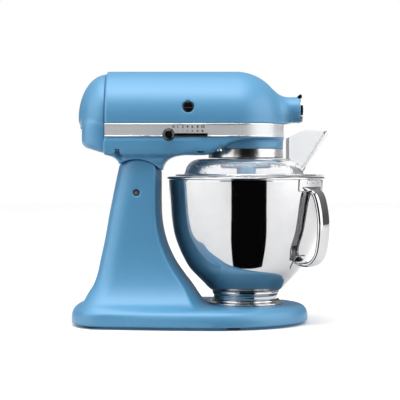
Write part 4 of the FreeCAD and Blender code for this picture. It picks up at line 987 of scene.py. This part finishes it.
def area_light(name, place, target, size, power):
    data = bpy.data.lights.new(name, "AREA")
    data.shape = "RECTANGLE"
    data.size, data.size_y = size
    data.energy = power
    obj = bpy.data.objects.new(name, data)
    obj.location = place
    direction = Vector(target) - Vector(place)
    obj.rotation_euler = direction.to_track_quat("-Z", "Y").to_euler()
    bpy.context.scene.collection.objects.link(obj)


def make_world():
    # the camera and clear plastic see plain white, the object sees grey bands by height
    world = bpy.data.worlds.new("studio")
    world.use_nodes = True
    nodes, links = world.node_tree.nodes, world.node_tree.links
    soft = nodes["Background"]
    coord = nodes.new("ShaderNodeTexCoord")
    split = nodes.new("ShaderNodeSeparateXYZ")
    links.new(coord.outputs["Generated"], split.inputs["Vector"])
    height = nodes.new("ShaderNodeMapRange")
    height.inputs["From Min"].default_value = -1.0
    height.inputs["From Max"].default_value = 1.0
    links.new(split.outputs["Z"], height.inputs["Value"])
    tone = nodes.new("ShaderNodeValToRGB")
    points = tone.color_ramp.elements
    points[0].position, points[0].color = 0.0, (1.25, 1.25, 1.25, 1)
    points[1].position, points[1].color = 1.0, (1.0, 1.0, 1.0, 1)
    for place, level in ((0.22, 0.85), (0.38, 0.24), (0.54, 0.24), (0.70, 0.55)):
        point = points.new(place)
        point.color = (level, level * 1.02, level * 1.05, 1)
    links.new(height.outputs["Result"], tone.inputs["Fac"])
    links.new(tone.outputs["Color"], soft.inputs["Color"])
    soft.inputs["Strength"].default_value = 0.62
    plain = nodes.new("ShaderNodeBackground")
    plain.inputs["Color"].default_value = (1, 1, 1, 1)
    plain.inputs["Strength"].default_value = 1.0
    path = nodes.new("ShaderNodeLightPath")
    mix = nodes.new("ShaderNodeMixShader")
    clear = nodes.new("ShaderNodeMath")
    clear.operation = "MAXIMUM"
    links.new(path.outputs["Is Camera Ray"], clear.inputs[0])
    links.new(path.outputs["Is Transmission Ray"], clear.inputs[1])
    links.new(clear.outputs["Value"], mix.inputs["Fac"])
    links.new(soft.outputs["Background"], mix.inputs[1])
    links.new(plain.outputs["Background"], mix.inputs[2])
    links.new(mix.outputs["Shader"], nodes["World Output"].inputs["Surface"])
    bpy.context.scene.world = world


def make_card():
    # black card seen only in reflections, as the dark stripe in the bowl
    near, far = CARD_Y
    low, high = CARD_Z
    corners = [(CARD_NEAR_X[0], near, low), (CARD_NEAR_X[1], near, low),
               (CARD_FAR_X[1], far, low), (CARD_FAR_X[0], far, low),
               (CARD_FAR_X[0], far, low), (CARD_FAR_X[1], far, low),
               (CARD_FAR_X[1], far, high), (CARD_FAR_X[0], far, high)]
    card, shader = stage_piece("dark_card", corners, [(0, 1, 2, 3), (4, 5, 6, 7)],
                               "dark_card_cloth", 4.0, (CARD_BLACK, CARD_BLACK), 1.0)
    shader.inputs["Specular IOR Level"].default_value = 0.0
    card.visible_camera = False
    card.visible_diffuse = False
    card.visible_shadow = False
    card.visible_transmission = False


def make_sun():
    data = bpy.data.lights.new("sky_panel", "SUN")
    data.energy = 1.95
    data.angle = math.radians(70)
    sun = bpy.data.objects.new("sky_panel", data)
    sun.rotation_euler = (math.radians(12), math.radians(-8), 0)
    bpy.context.scene.collection.objects.link(sun)


def make_camera():
    data = bpy.data.cameras.new("camera")
    data.lens = 124.4
    data.sensor_width = 36.0
    camera = bpy.data.objects.new("camera", data)
    camera.location = (0.0, -1.935, 0.220)
    camera.rotation_euler = (math.radians(90 - 1.44), 0, 0)
    bpy.context.scene.collection.objects.link(camera)
    bpy.context.scene.camera = camera


make_floor()
make_world()
make_card()
area_light("key", (-0.2, -0.75, 2.1), (0, 0, 0.25), (1.6, 0.7), 14)
area_light("left_box", (-2.3, -0.9, 1.0), (0, 0, 0.3), (3.0, 2.4), 40)
area_light("right_box", (2.3, -0.9, 1.0), (0, 0, 0.3), (3.0, 2.4), 48)
make_sun()
bpy.context.scene.view_settings.view_transform = "Standard"
make_camera()

bpy.context.view_layer.update()
